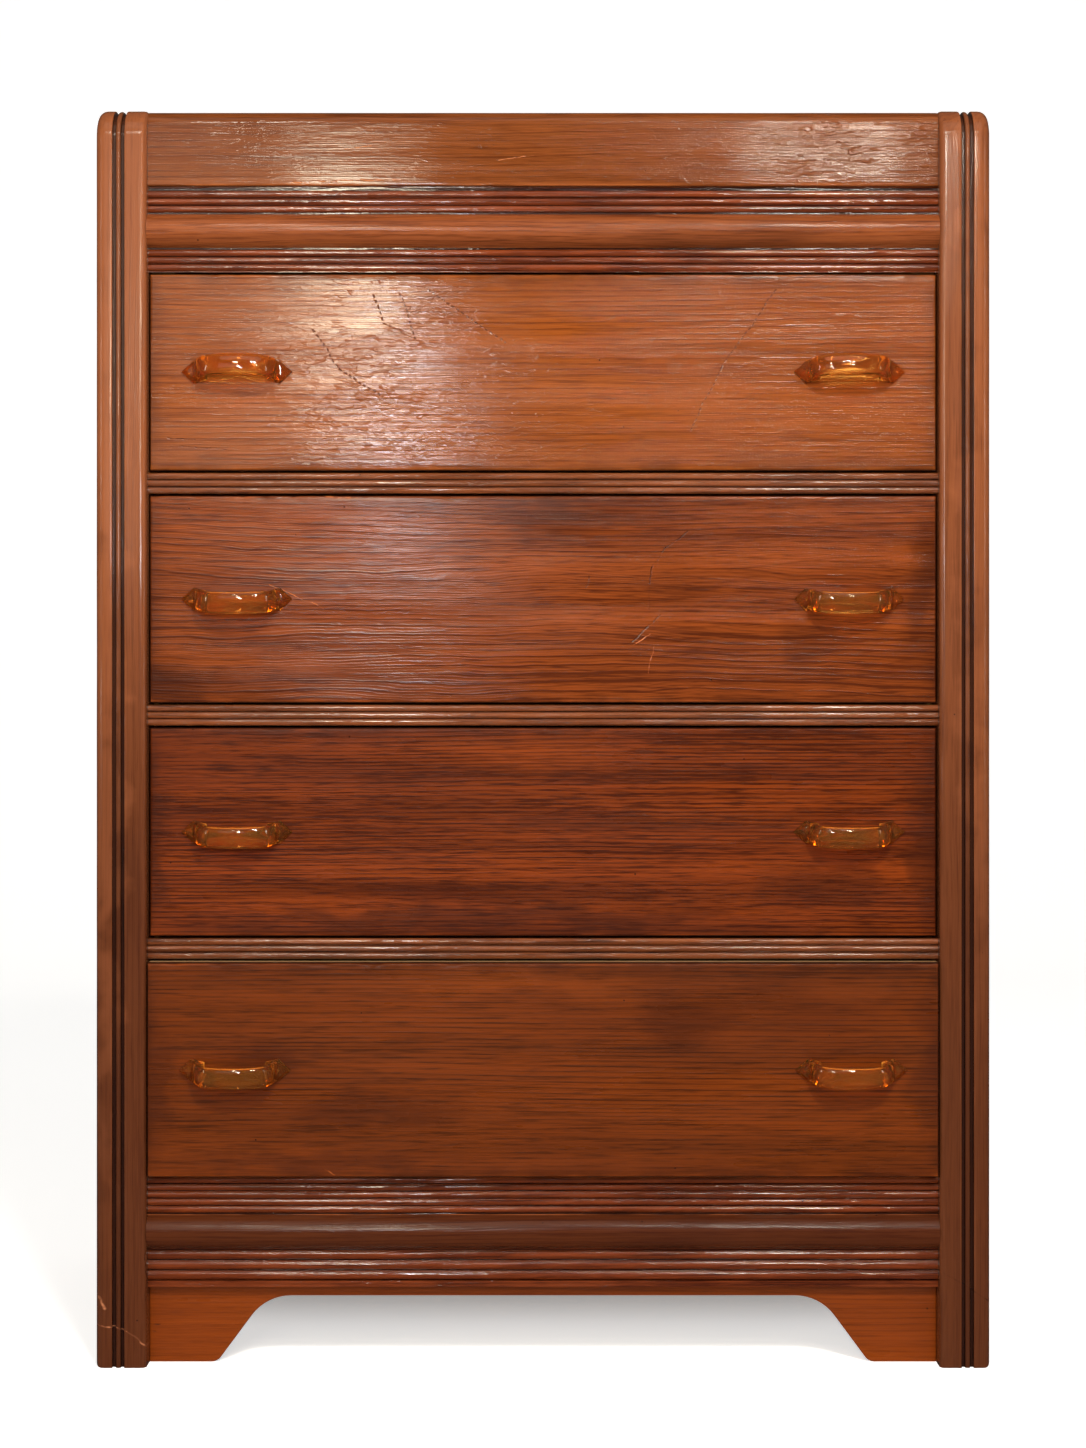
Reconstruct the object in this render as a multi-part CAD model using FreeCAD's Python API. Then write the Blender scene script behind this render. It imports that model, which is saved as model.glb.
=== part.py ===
import FreeCAD, Part

import math
import os

from FreeCAD import Vector

# A tall dresser of solid fir with four drawers between two reeded front posts.
# Lengths are in millimetres. X runs to the right, Y to the back and Z up.
# The origin lies on the floor, under the middle of the whole piece with its pulls.

# Case
width = 813.0
case_height = 1147.0
case_depth = 470.0
post_width = 46.0
post_depth = 44.0
face_setback = 12.0
drawer_gap = 1.9

# Heights of the front, from the floor up
arch_height = 60.7
apron_show = 10.1
fillet_height = 5.6
coarse_pitch = 9.4
coarse_count = 3
seat_gap = 1.2
half_round_height = 31.0
half_round_rise = 13.2
fine_pitch = 6.7
lower_fine_count = 5
upper_fine_count = 3
rail_height = 19.0
frieze_recess_height = 4.2
fascia_height = 69.3
post_reveal = 1.7

# Drawers, from the top one down, as shares of the height that they divide
drawer_height_shares = [0.2382, 0.2509, 0.2527, 0.2582]
space_behind_drawers = 43.0
bottom_drawer_ajar = 14.0
front_thickness = 20.0
front_side_gap = 1.4
front_edge_radius = 2.5
side_thickness = 12.0
side_inset = 2.0
side_drop = 12.0
side_let_in = 10.0
back_thickness = 12.0
back_from_end = 15.0
back_let_in = 4.0
back_drop = 8.0
bottom_thickness = 5.0
bottom_rise = 10.0
bottom_let_in = 6.0

# Reeds and the boards that carry them
reed_rise = 2.2
coarse_rise = 2.8
recess_depth = 4.5
frieze_thickness = 22.0
moulding_thickness = 9.0
apron_thickness = 19.0
rail_depth = 45.0
rail_reeds = 3
fascia_thickness = 22.0
fascia_nose = 12.7
fascia_lower_radius = 1.5
frieze_lip = 0.9

# Apron cut-out
apron_foot_width = 62.0
arch_slope_run = 45.0
arch_blend = 45.0
foot_corner = 11.0

# Front post profile
outer_strip = 15.4
groove_width = 2.8
groove_depth = 4.0
post_bead = 5.2
bead_setback = 0.4
strip_edge = 0.9
post_outer_radius = 8.5
post_inner_radius = 4.75
post_roll = 28.0
post_foot_radius = 4.0
post_rear_easing = 2.5

# Rear posts, sides, top and back
rear_post_depth = 30.0
rear_post_radius = 2.5
side_setback = 5.0
side_rail_thickness = 20.0
side_top_rail_height = 60.0
side_bottom_rail_height = 70.0
panel_thickness = 6.0
panel_let_in = 8.0
top_thickness = 20.0
top_edge_radius = 8.5
back_panel_thickness = 5.0
back_rebate = 12.0
rear_rail_thickness = 20.0
rear_rail_height = 55.0

# Joinery
tenon_length = 20.0
tenon_inset = 5.0
tenon_shoulder = 12.0
side_tenon_length = 18.0
side_tenon_inset = 6.0
joint_fit = 0.2

# Runners and the strips beside them
slide_clearance = 0.3
guide_clearance = 0.8
stop_clearance = 0.3
kicker_clearance = 2.0
runner_thickness = 18.0
runner_inboard = 18.0
guide_width = 16.0
guide_height = 14.0
runner_outboard = 2.0
stop_height = 14.0
glue_block_leg = 25.0
glue_block_length = 110.0
glue_block_rise = 15.0
top_block_length = 45.0
top_block_places_shares = [-0.6, 0.0, 0.6]

# Pulls
pull_inset = 79.7
pull_length = 101.6
pull_reach = 28.0
pull_droop = 11.5
screw_spacing = 76.2
strap_height = 20.0
strap_edge = 3.0
strap_bevel = 2.7
strap_flat = 10.0
strap_span = 73.0
strap_corner = 22.0
crown_angle = 12.0
foot_rise = 7.0
foot_rim = 1.2
foot_height = 21.4
foot_tip_run = 11.5
foot_heel_run = 12.0
foot_heel_height = 15.0
foot_top_share = 0.55

# One overrun serves every cut that runs out of a piece
overrun = 5.0

# Places along X
half_opening = width / 2 - post_width
front_end = half_opening - front_side_gap
side_outer = front_end - side_inset
side_inner = side_outer - side_thickness
guide_inner = side_outer + guide_clearance
runner_inner = side_inner - (runner_inboard - side_thickness)
guide_outer = guide_inner + guide_width
runner_outer = guide_outer + runner_outboard
side_rail_outer = width / 2 - side_setback
side_rail_inner = side_rail_outer - side_rail_thickness
panel_middle = (side_rail_outer + side_rail_inner) / 2
pull_middle = front_end - pull_inset
arch_foot_half = half_opening - apron_foot_width
arch_top_half = arch_foot_half - arch_slope_run

# Places along Y
front_reach = pull_reach - face_setback + bottom_drawer_ajar
post_front = front_reach - (case_depth + front_reach) / 2
post_back = post_front + post_depth
case_back = post_front + case_depth
face = post_front + face_setback
rail_back = face + rail_depth
apron_front = face + moulding_thickness
apron_back = apron_front + apron_thickness
rear_post_front = case_back - rear_post_depth
panel_back_plane = case_back - back_panel_thickness
drawer_end = panel_back_plane - space_behind_drawers

# Places along Z: the lower mouldings from the floor up
moulding_foot = arch_height + apron_show
coarse_foot = moulding_foot + fillet_height
coarse_top = coarse_foot + coarse_count * coarse_pitch
lower_seat = coarse_top + seat_gap
lower_seat_top = lower_seat + half_round_height
lower_fine_foot = lower_seat_top + seat_gap
lower_frieze_top = lower_fine_foot + lower_fine_count * fine_pitch

# The top and the upper mouldings from the top down
post_top = case_height
top_surface = post_top - post_reveal
top_underside = top_surface - top_thickness
fascia_foot = top_surface - fascia_height
high_fine_top = fascia_foot - frieze_recess_height
high_fine_foot = high_fine_top - upper_fine_count * fine_pitch
upper_seat_top = high_fine_foot - seat_gap
upper_seat = upper_seat_top - half_round_height
upper_fine_top = upper_seat - seat_gap
upper_fine_foot = upper_fine_top - upper_fine_count * fine_pitch
upper_frieze_foot = upper_fine_foot - frieze_lip

# The drawers between them, each over a divider rail but the last
drawer_count = len(drawer_height_shares)
opening_total = upper_frieze_foot - lower_frieze_top - (drawer_count - 1) * rail_height
drawer_total = opening_total - drawer_count * (drawer_gap + drawer_gap)
drawer_heights = [share * drawer_total for share in drawer_height_shares]
opening_floors = []
ceiling = upper_frieze_foot
for height in drawer_heights:
    opening_floors.append(ceiling - drawer_gap - height - drawer_gap)
    ceiling = opening_floors[-1] - rail_height


class Outline:
    """A closed chain of edges drawn with a pen in one plane."""

    def __init__(self, place, a, b):
        self.place = place
        self.start = (a, b)
        self.now = (a, b)
        self.edges = []

    def line(self, a, b):
        """Straight edge to the point (a, b)."""
        self.edges.append(Part.LineSegment(self.place(*self.now), self.place(a, b)).toShape())
        self.now = (a, b)
        return self

    def arc(self, through, end):
        """Arc through one point to another."""
        points = [self.place(*self.now), self.place(*through), self.place(*end)]
        self.edges.append(Part.Arc(*points).toShape())
        self.now = end
        return self

    def turn(self, centre, end):
        """Arc about a centre to a point at the same radius, by less than half a turn."""
        first = (self.now[0] - centre[0], self.now[1] - centre[1])
        last = (end[0] - centre[0], end[1] - centre[1])
        middle = (first[0] + last[0], first[1] + last[1])
        reach = math.hypot(*first) / math.hypot(*middle)
        through = (centre[0] + middle[0] * reach, centre[1] + middle[1] * reach)
        return self.arc(through, end)

    def reeds(self, count, pitch, rise):
        """Row of round reeds, one above the other, their crests standing out to the front."""
        for _ in range(count):
            a, b = self.now
            self.arc((a - rise, b + pitch / 2), (a, b + pitch))
        return self

    def wire(self):
        """The closed wire."""
        if math.dist(self.now, self.start) > 0:
            self.line(*self.start)
        return Part.Wire(self.edges)

    def face(self):
        """The flat face inside the wire."""
        return Part.Face(self.wire())


def across(x):
    """Plane across the width, its points given as (y, z)."""
    return lambda y, z: Vector(x, y, z)


def frontal(y):
    """Plane parallel to the front, its points given as (x, z)."""
    return lambda x, z: Vector(x, y, z)


def level_at(z):
    """Level plane, its points given as (x, y)."""
    return lambda x, y: Vector(x, y, z)


def block(x, y, z):
    """Box between two limits along each direction."""
    low = Vector(min(x), min(y), min(z))
    return Part.makeBox(max(x) - low.x, max(y) - low.y, max(z) - low.z, low)


def grown(limits, by):
    """Two limits moved apart by the same amount."""
    return (min(limits) - by, max(limits) + by)


def flipped(shape):
    """The same piece for the other side."""
    return shape.mirror(Vector(0, 0, 0), Vector(1, 0, 0))


def joined(*shapes):
    """One solid from touching ones."""
    return shapes[0].fuse(list(shapes[1:])).removeSplitter()


def save(name, *solids):
    """Writes one node, a single solid or a group of separate ones."""
    shape = solids[0] if len(solids) == 1 else Part.makeCompound(list(solids))
    if not shape.isValid():
        raise ValueError(name + " is not a valid shape")
    shape.exportStep("parts/" + name + ".step")


def both(name, right):
    """Writes a right-hand piece and its mirror."""
    save("right_" + name, right)
    save("left_" + name, flipped(right))


def board_tenon(y, z):
    """Limits of the tenon on an upright board that fills y and z."""
    return grown(y, -tenon_inset), grown(z, -tenon_shoulder)


def rail_tenon(y, z):
    """Limits of the tenon on a flat rail that fills y and z."""
    return grown(y, -tenon_shoulder), grown(z, -tenon_inset)


def cross_tenons(limits):
    """Tenons at both ends of a piece between the posts."""
    right = block((half_opening, half_opening + tenon_length), *limits)
    return [right, flipped(right)]


def cross_mortise(limits):
    """The hole in the right post for such a tenon."""
    y, z = limits
    reach = half_opening + tenon_length + joint_fit
    return block((half_opening - overrun, reach), grown(y, joint_fit), grown(z, joint_fit))


# Every piece that is tenoned into the posts, by its limits along Y and Z
fascia_tenon = board_tenon((face, face + fascia_thickness), (fascia_foot, top_underside))
upper_frieze_tenon = board_tenon(
    (face + recess_depth, face + frieze_thickness), (upper_frieze_foot, fascia_foot)
)
apron_tenon = board_tenon((apron_front, apron_back), (0, lower_frieze_top))
rail_tenons = [
    rail_tenon((face, rail_back), (floor - rail_height, floor)) for floor in opening_floors[:-1]
]
rear_rail_y = (panel_back_plane - rear_rail_thickness, panel_back_plane)
rear_top_z = (top_underside - rear_rail_height, top_underside)
rear_bottom_z = (arch_height, arch_height + rear_rail_height)
rear_tenons = [board_tenon(rear_rail_y, z) for z in (rear_top_z, rear_bottom_z)]

side_top_z = (top_underside - side_top_rail_height, top_underside)
side_bottom_z = (arch_height, arch_height + side_bottom_rail_height)
side_x = (side_rail_inner, side_rail_outer)
panel_x = grown((panel_middle, panel_middle), panel_thickness / 2)
panel_y = (post_back - panel_let_in, rear_post_front + panel_let_in)
panel_z = (side_bottom_z[1] - panel_let_in, side_top_z[0] + panel_let_in)


def side_tenon(z, fit):
    """Bar through a side rail that shows as a tenon at each end, grown by a fit for its mortises."""
    reach = side_tenon_length + fit
    x = grown(side_x, fit - side_tenon_inset)
    return block(x, (post_back - reach, rear_post_front + reach), grown(z, fit - tenon_shoulder))


def post_outline(place, depth):
    """Front profile of a right post: inner strip, groove, bead, groove, outer strip, then its back."""
    inner_strip = post_width - outer_strip - groove_width - post_bead - groove_width
    wall = inner_strip
    bead = wall + groove_width
    bead_end = bead + post_bead
    far_wall = bead_end + groove_width
    bead_side = bead_setback + post_bead / 2
    pen = Outline(place, 0, depth)
    pen.line(0, post_inner_radius)
    pen.turn((post_inner_radius, post_inner_radius), (post_inner_radius, 0))
    pen.line(wall - strip_edge, 0)
    pen.line(wall, strip_edge)
    pen.line(wall, groove_depth)
    pen.line(bead, groove_depth)
    pen.line(bead, bead_side)
    pen.arc(((bead + bead_end) / 2, bead_setback), (bead_end, bead_side))
    pen.line(bead_end, groove_depth)
    pen.line(far_wall, groove_depth)
    pen.line(far_wall, strip_edge)
    pen.line(far_wall + strip_edge, 0)
    pen.line(post_width - post_outer_radius, 0)
    pen.turn((post_width - post_outer_radius, post_outer_radius), (post_width, post_outer_radius))
    pen.line(post_width, depth)
    return pen.face()


def front_post():
    """Right front post, its profile run up the face, over the rounded top and back along the top."""
    turn_level = post_top - post_roll
    turn_depth = post_front + post_roll

    def upright(u, v):
        return Vector(half_opening + u, post_front + v, 0)

    def at_turn(u, v):
        return Vector(half_opening + u, post_front + v, turn_level)

    def lying(u, v):
        return Vector(half_opening + u, turn_depth, post_top - v)

    shaft = post_outline(upright, post_depth).extrude(Vector(0, 0, turn_level))
    centre = Vector(0, turn_depth, turn_level)
    roll = post_outline(at_turn, post_roll).revolve(centre, Vector(-1, 0, 0), 90)
    cap = post_outline(lying, post_roll).extrude(Vector(0, post_depth - post_roll, 0))
    post = joined(shaft, roll, cap)

    corner = width / 2
    foot = Outline(frontal(post_front - overrun), corner, 0)
    foot.line(corner - post_foot_radius, 0)
    foot.turn((corner - post_foot_radius, post_foot_radius), (corner, post_foot_radius))
    easing = Outline(across(half_opening - overrun), post_back, post_top)
    easing.line(post_back - post_rear_easing, post_top).line(post_back, post_top - post_rear_easing)
    groove_z = (side_bottom_z[0] + tenon_shoulder, side_top_z[1] - tenon_shoulder)
    groove_y = (post_back - panel_let_in - joint_fit, post_back)
    panel_groove = block(grown(panel_x, joint_fit), groove_y, groove_z)
    cuts = [
        foot.face().extrude(Vector(0, post_depth + overrun + overrun, 0)),
        easing.face().extrude(Vector(post_width + overrun + overrun, 0, 0)),
        panel_groove,
        side_tenon(side_top_z, joint_fit),
        side_tenon(side_bottom_z, joint_fit),
    ]
    cuts += [cross_mortise(t) for t in [fascia_tenon, upper_frieze_tenon, apron_tenon] + rail_tenons]
    return post.cut(cuts)


def rear_post():
    """Right rear post, rounded at its outer back edge and rebated for the back."""
    outer = width / 2
    turn = rear_post_radius
    pen = Outline(level_at(0), half_opening, rear_post_front)
    pen.line(outer, rear_post_front).line(outer, case_back - turn)
    pen.turn((outer - turn, case_back - turn), (outer - turn, case_back))
    pen.line(half_opening, case_back)
    post = pen.face().extrude(Vector(0, 0, top_underside))
    groove_z = (side_bottom_z[0] + tenon_shoulder, side_top_z[1] - tenon_shoulder)
    rebate_end = half_opening + back_rebate + joint_fit
    cuts = [
        block(
            (half_opening - overrun, rebate_end),
            (panel_back_plane, case_back + overrun),
            (arch_height - joint_fit, top_underside + overrun),
        ),
        block(
            grown(panel_x, joint_fit),
            (rear_post_front, rear_post_front + panel_let_in + joint_fit),
            groove_z,
        ),
        side_tenon(side_top_z, joint_fit),
        side_tenon(side_bottom_z, joint_fit),
    ]
    cuts += [cross_mortise(t) for t in rear_tenons]
    return post.cut(cuts)


def side_rail(z, groove_at_top):
    """Right side rail between the posts, tenoned into both; the panel stands in the lower one's groove."""
    rail = block(side_x, (post_back, rear_post_front), z)
    rail = joined(rail, side_tenon(z, 0))
    if groove_at_top:
        groove_z = (z[1] - panel_let_in, z[1] + overrun)
    else:
        groove_z = (z[0] - overrun, z[0] + panel_let_in + joint_fit)
    return rail.cut(block(grown(panel_x, joint_fit), grown(panel_y, overrun), groove_z))


def top_panel():
    """Top board between and behind the front posts, its side edges rounded over."""
    outer = width / 2
    low = top_surface - top_edge_radius
    pen = Outline(frontal(post_back), -outer, top_underside)
    pen.line(outer, top_underside).line(outer, low)
    pen.turn((outer - top_edge_radius, low), (outer - top_edge_radius, top_surface))
    pen.line(top_edge_radius - outer, top_surface)
    pen.turn((top_edge_radius - outer, low), (-outer, low))
    board = pen.face().extrude(Vector(0, case_back - post_back, 0))
    front_edge = face + fascia_thickness
    tongue = block((-half_opening, half_opening), (front_edge, post_back), (top_underside, top_surface))
    return joined(board, tongue)


def fascia():
    """Board over the drawers, its top edge rolled back to meet the top."""
    back = face + fascia_thickness
    pen = Outline(across(-half_opening), back, fascia_foot)
    pen.line(back, top_surface).line(face + fascia_nose, top_surface)
    pen.turn((face + fascia_nose, top_surface - fascia_nose), (face, top_surface - fascia_nose))
    pen.line(face, fascia_foot + fascia_lower_radius)
    turn = (face + fascia_lower_radius, fascia_foot)
    pen.turn((face + fascia_lower_radius, fascia_foot + fascia_lower_radius), turn)
    board = pen.face().extrude(Vector(half_opening * 2, 0, 0))
    return joined(board, *cross_tenons(fascia_tenon))


def upper_frieze():
    """Reeded board over the top drawer: recess, reeds, seat for the half round, reeds, lip."""
    back = face + frieze_thickness
    seat = face + reed_rise
    pen = Outline(across(-half_opening), back, upper_frieze_foot)
    pen.line(seat, upper_frieze_foot).line(seat, upper_fine_foot)
    pen.reeds(upper_fine_count, fine_pitch, reed_rise)
    pen.line(seat, high_fine_foot)
    pen.reeds(upper_fine_count, fine_pitch, reed_rise)
    pen.line(face + recess_depth, high_fine_top).line(face + recess_depth, fascia_foot)
    pen.line(back, fascia_foot)
    board = pen.face().extrude(Vector(half_opening * 2, 0, 0))
    return joined(board, *cross_tenons(upper_frieze_tenon))


def lower_frieze():
    """Moulding under the bottom drawer: fillet, coarse reeds, seat for the half round, fine reeds."""
    seat = face + reed_rise
    pen = Outline(across(-half_opening), apron_front, moulding_foot)
    pen.line(face, moulding_foot).line(face, coarse_foot).line(face + coarse_rise, coarse_foot)
    pen.reeds(coarse_count, coarse_pitch, coarse_rise)
    pen.line(seat, coarse_top).line(seat, lower_fine_foot)
    pen.reeds(lower_fine_count, fine_pitch, reed_rise)
    pen.line(apron_front, lower_frieze_top)
    return pen.face().extrude(Vector(half_opening * 2, 0, 0))


def half_round(foot):
    """Half-round moulding glued on its seat, its foot at the given level."""
    seat = face + reed_rise
    top = foot + half_round_height
    pen = Outline(across(-half_opening), seat, foot)
    pen.arc((seat - half_round_rise, (foot + top) / 2), (seat, top))
    return pen.face().extrude(Vector(half_opening * 2, 0, 0))


def apron():
    """Board behind the lower mouldings, cut out between two sloped feet."""
    slope = math.atan2(arch_height, arch_foot_half - arch_top_half)
    blend_run = arch_blend * math.tan(slope / 2)
    corner_run = foot_corner * math.tan(slope / 2)
    along = (math.cos(slope), math.sin(slope))
    pen = Outline(frontal(apron_front), -half_opening, 0)

    def foot_points(side):
        """Tangent points of one foot, from its floor corner up to the flat, with the two arc centres."""
        floor_point = (side * (arch_foot_half + corner_run), 0)
        rise_point = (
            side * (arch_foot_half - corner_run * along[0]),
            corner_run * along[1],
        )
        floor_centre = (floor_point[0], foot_corner)
        high_point = (
            side * (arch_top_half + blend_run * along[0]),
            arch_height - blend_run * along[1],
        )
        flat_point = (side * (arch_top_half - blend_run), arch_height)
        high_centre = (flat_point[0], arch_height - arch_blend)
        return floor_point, floor_centre, rise_point, high_point, high_centre, flat_point

    floor_point, floor_centre, rise_point, high_point, high_centre, flat_point = foot_points(-1)
    pen.line(*floor_point).turn(floor_centre, rise_point).line(*high_point).turn(high_centre, flat_point)
    floor_point, floor_centre, rise_point, high_point, high_centre, flat_point = foot_points(1)
    pen.line(*flat_point).turn(high_centre, high_point).line(*rise_point).turn(floor_centre, floor_point)
    pen.line(half_opening, 0).line(half_opening, lower_frieze_top).line(-half_opening, lower_frieze_top)
    board = pen.face().extrude(Vector(0, apron_thickness, 0))
    return joined(board, *cross_tenons(apron_tenon))


def divider_rail(floor, tenon):
    """Rail between two drawers with reeds along its front edge, its top at the given level."""
    foot = floor - rail_height
    pen = Outline(across(-half_opening), rail_back, foot)
    pen.line(face + reed_rise, foot)
    pen.reeds(rail_reeds, rail_height / rail_reeds, reed_rise)
    pen.line(rail_back, floor)
    rail = pen.face().extrude(Vector(half_opening * 2, 0, 0))
    return joined(rail, *cross_tenons(tenon))


def runner_front(number):
    """Front end of the strips that carry a drawer: against its rail, or behind the post."""
    has_rail = number < drawer_count - 1
    return rail_back if has_rail else post_back


def runner_top(number):
    """Level on which a drawer's sides slide."""
    return opening_floors[number] + drawer_gap - slide_clearance


def runners():
    """Right-hand runners, one under each drawer side."""
    solids = []
    for number in range(drawer_count):
        top = runner_top(number)
        y = (runner_front(number), rear_post_front)
        solids.append(block((runner_inner, runner_outer), y, (top - runner_thickness, top)))
    return solids


def guides():
    """Right-hand guide strips, lying on the runners beside the drawer sides."""
    solids = []
    for number in range(drawer_count):
        top = runner_top(number)
        y = (runner_front(number), rear_post_front)
        solids.append(block((guide_inner, guide_outer), y, (top, top + guide_height)))
    return solids


def stops():
    """Right-hand stop blocks at the back end of each runner."""
    y = (drawer_end + stop_clearance, rear_post_front)
    solids = []
    for number in range(drawer_count):
        top = runner_top(number)
        solids.append(block((runner_inner, guide_inner), y, (top, top + stop_height)))
    return solids


def kicker():
    """Right-hand strip over the top drawer's side, which keeps the open drawer from tipping."""
    low = drawer_foot(0) + drawer_heights[0] - side_drop + kicker_clearance
    y = (face + frieze_thickness, rear_post_front)
    wide = block((runner_inner, half_opening), y, (low, low + runner_thickness))
    tail = block((half_opening, runner_outer), (post_back, rear_post_front), (low, low + runner_thickness))
    return joined(wide, tail)


def corner_block():
    """Right-hand glue block behind the apron, beside the post."""
    pen = Outline(level_at(glue_block_rise), half_opening, apron_back)
    pen.line(half_opening, apron_back + glue_block_leg).line(half_opening - glue_block_leg, apron_back)
    return pen.face().extrude(Vector(0, 0, glue_block_length))


def top_blocks():
    """Glue blocks in the corner between the top and the board under its front edge."""
    back = face + fascia_thickness
    solids = []
    for share in top_block_places_shares:
        pen = Outline(across(share * half_opening - top_block_length / 2), back, top_underside)
        pen.line(back + glue_block_leg, top_underside).line(back, top_underside - glue_block_leg)
        solids.append(pen.face().extrude(Vector(top_block_length, 0, 0)))
    return solids


def drawer_foot(number):
    """Lower edge of a drawer front."""
    return opening_floors[number] + drawer_gap


def drawer_front(foot, height):
    """Drawer front with eased edges, let in for its sides and bottom."""
    top = foot + height
    front = block((-front_end, front_end), (face, face + front_thickness), (foot, top))
    show_face = min(front.Faces, key=lambda side: side.CenterOfMass.y)
    front = front.makeFillet(front_edge_radius, show_face.Edges)
    let_in_y = (face + front_thickness - side_let_in, face + front_thickness + overrun)
    rebate = block((side_inner, front_end + overrun), let_in_y, (foot - overrun, top - side_drop))
    groove = bottom_block(foot, joint_fit)
    return front.cut([rebate, flipped(rebate), groove])


def bottom_block(foot, fit):
    """The drawer bottom, grown by a fit for the grooves, on whose lower sides it lies."""
    x = side_inner + bottom_let_in
    y = (face + front_thickness - bottom_let_in, drawer_end - back_from_end)
    z = (foot + bottom_rise, foot + bottom_rise + bottom_thickness + fit)
    return block(grown((-x, x), fit), grown(y, fit), z)


def drawer_side(foot, height):
    """Right drawer side, grooved for the bottom and the back."""
    y = (face + front_thickness - side_let_in, drawer_end)
    side = block((side_inner, side_outer), y, (foot, foot + height - side_drop))
    back_y = (drawer_end - back_from_end - back_thickness, drawer_end - back_from_end)
    z = (foot + bottom_rise, foot + height)
    slot = block((side_inner - overrun, side_inner + back_let_in), back_y, z)
    return side.cut([bottom_block(foot, joint_fit), slot])


def drawer_back(foot, height):
    """Drawer back, standing on the bottom between the sides."""
    y = (drawer_end - back_from_end - back_thickness, drawer_end - back_from_end)
    z = (foot + bottom_rise + bottom_thickness, foot + height - side_drop - back_drop)
    x = side_inner + back_let_in
    return block((-x, x), y, z)


def strap_section(x, y):
    """Section of the pull's strap across its left leg: a flat face between two bevels, a flat inner side."""
    half = strap_height / 2
    side = strap_edge / 2
    outer = side + strap_bevel
    pen = Outline(lambda a, b: Vector(x + a, y, b), -side, -half)
    pen.line(-outer, -strap_flat / 2).line(-outer, strap_flat / 2).line(-side, half)
    pen.line(side, half).line(side, -half)
    return pen.face()


def bow():
    """The strap of a pull, a flattened arch from foot to foot, leaning down from its feet."""
    lean = math.radians(pull_droop)
    crown = math.radians(crown_angle)
    level_reach = (pull_reach - strap_flat / 2 * math.sin(lean)) / math.cos(lean)
    apex = level_reach - strap_edge / 2 - strap_bevel
    half = strap_span / 2
    crown_radius = (half - strap_corner * (1 - math.sin(crown))) / math.sin(crown)
    leg = apex - strap_corner * math.cos(crown) - crown_radius * (1 - math.cos(crown))
    upward = Vector(0, 0, 1)
    corner_centre = Vector(strap_corner - half, -leg, 0)
    crown_centre = Vector(0, crown_radius - apex, 0)
    turned = 90 - crown_angle

    straight = strap_section(-half, overrun).extrude(Vector(0, -leg - overrun, 0))
    section = strap_section(-half, -leg)
    corner = section.revolve(corner_centre, upward, turned)
    section.rotate(corner_centre, upward, turned)
    middle = section.revolve(crown_centre, upward, crown_angle + crown_angle)
    strap = joined(straight, corner, middle, flipped(corner), flipped(straight))
    strap.rotate(Vector(0, 0, 0), Vector(1, 0, 0), pull_droop)
    behind = block((-pull_length, pull_length), (0, pull_length), (-pull_length, pull_length))
    return strap.cut(behind)


def foot_ring(y, share):
    """Corners of a pull's right foot at one depth, an arrowhead shrunk about its screw."""
    screw = screw_spacing / 2
    tip = pull_length / 2
    shoulder = tip - foot_tip_run
    heel = shoulder - foot_heel_run
    corners = [
        (tip, 0),
        (shoulder, foot_height / 2),
        (heel, foot_heel_height / 2),
        (heel, -foot_heel_height / 2),
        (shoulder, -foot_height / 2),
    ]
    return [Vector(screw + (x - screw) * share, y, z * share) for x, z in corners]


def flat(*points):
    """Flat face with the given corners."""
    return Part.Face(Part.makePolygon([*points, points[0]]))


def pull_foot():
    """Right foot of a pull: a thin straight rim, then facets that slope in to a flat."""
    rings = [foot_ring(0, 1), foot_ring(-foot_rim, 1), foot_ring(-foot_rise, foot_top_share)]
    faces = [flat(*rings[0]), flat(*rings[-1])]
    for low, high in zip(rings, rings[1:]):
        for corner in range(len(low)):
            faces.append(flat(low[corner - 1], low[corner], high[corner], high[corner - 1]))
    return Part.Solid(Part.Shell(faces))


def pull():
    """One pull on a face at y = 0, the middle of its screws at the origin."""
    foot = pull_foot()
    return joined(bow(), foot, flipped(foot))


def moved(shape, x, y, z):
    """A copy of a shape moved by the given amounts."""
    copy = shape.copy()
    copy.translate(Vector(x, y, z))
    return copy


def save_drawer(number, plain_pull):
    """Writes the pieces of one drawer; the bottom one stands a little open."""
    height = drawer_heights[number]
    foot = drawer_foot(number)
    is_last = number == drawer_count - 1
    ajar = -bottom_drawer_ajar if is_last else 0
    name = "drawer_" + str(number + 1) + "_"
    side = moved(drawer_side(foot, height), 0, ajar, 0)
    fixed_pull = plain_pull.copy()
    if number == 0:
        fixed_pull.rotate(Vector(0, 0, 0), Vector(0, 1, 0), 180)
    middle = foot + height / 2
    save(name + "front", moved(drawer_front(foot, height), 0, ajar, 0))
    save(name + "right_side", side)
    save(name + "left_side", flipped(side))
    save(name + "back", moved(drawer_back(foot, height), 0, ajar, 0))
    save(name + "bottom", moved(bottom_block(foot, 0), 0, ajar, 0))
    save(name + "right_handle", moved(fixed_pull, pull_middle, face + ajar, middle))
    save(name + "left_handle", moved(fixed_pull, -pull_middle, face + ajar, middle))


os.makedirs("parts", exist_ok=True)

both("front_post", front_post())
both("rear_post", rear_post())
both("side_top_rail", side_rail(side_top_z, False))
both("side_bottom_rail", side_rail(side_bottom_z, True))
both("side_panel", block(panel_x, panel_y, panel_z))
save("top_panel", top_panel())
save("top_front_rail", fascia())
save("upper_frieze_board", upper_frieze())
save("upper_half_round", half_round(upper_seat))
save("lower_frieze_board", lower_frieze())
save("lower_half_round", half_round(lower_seat))
save("apron", apron())
for place, tenon in enumerate(rail_tenons):
    save("divider_rail_" + str(place + 1), divider_rail(opening_floors[place], tenon))

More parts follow.
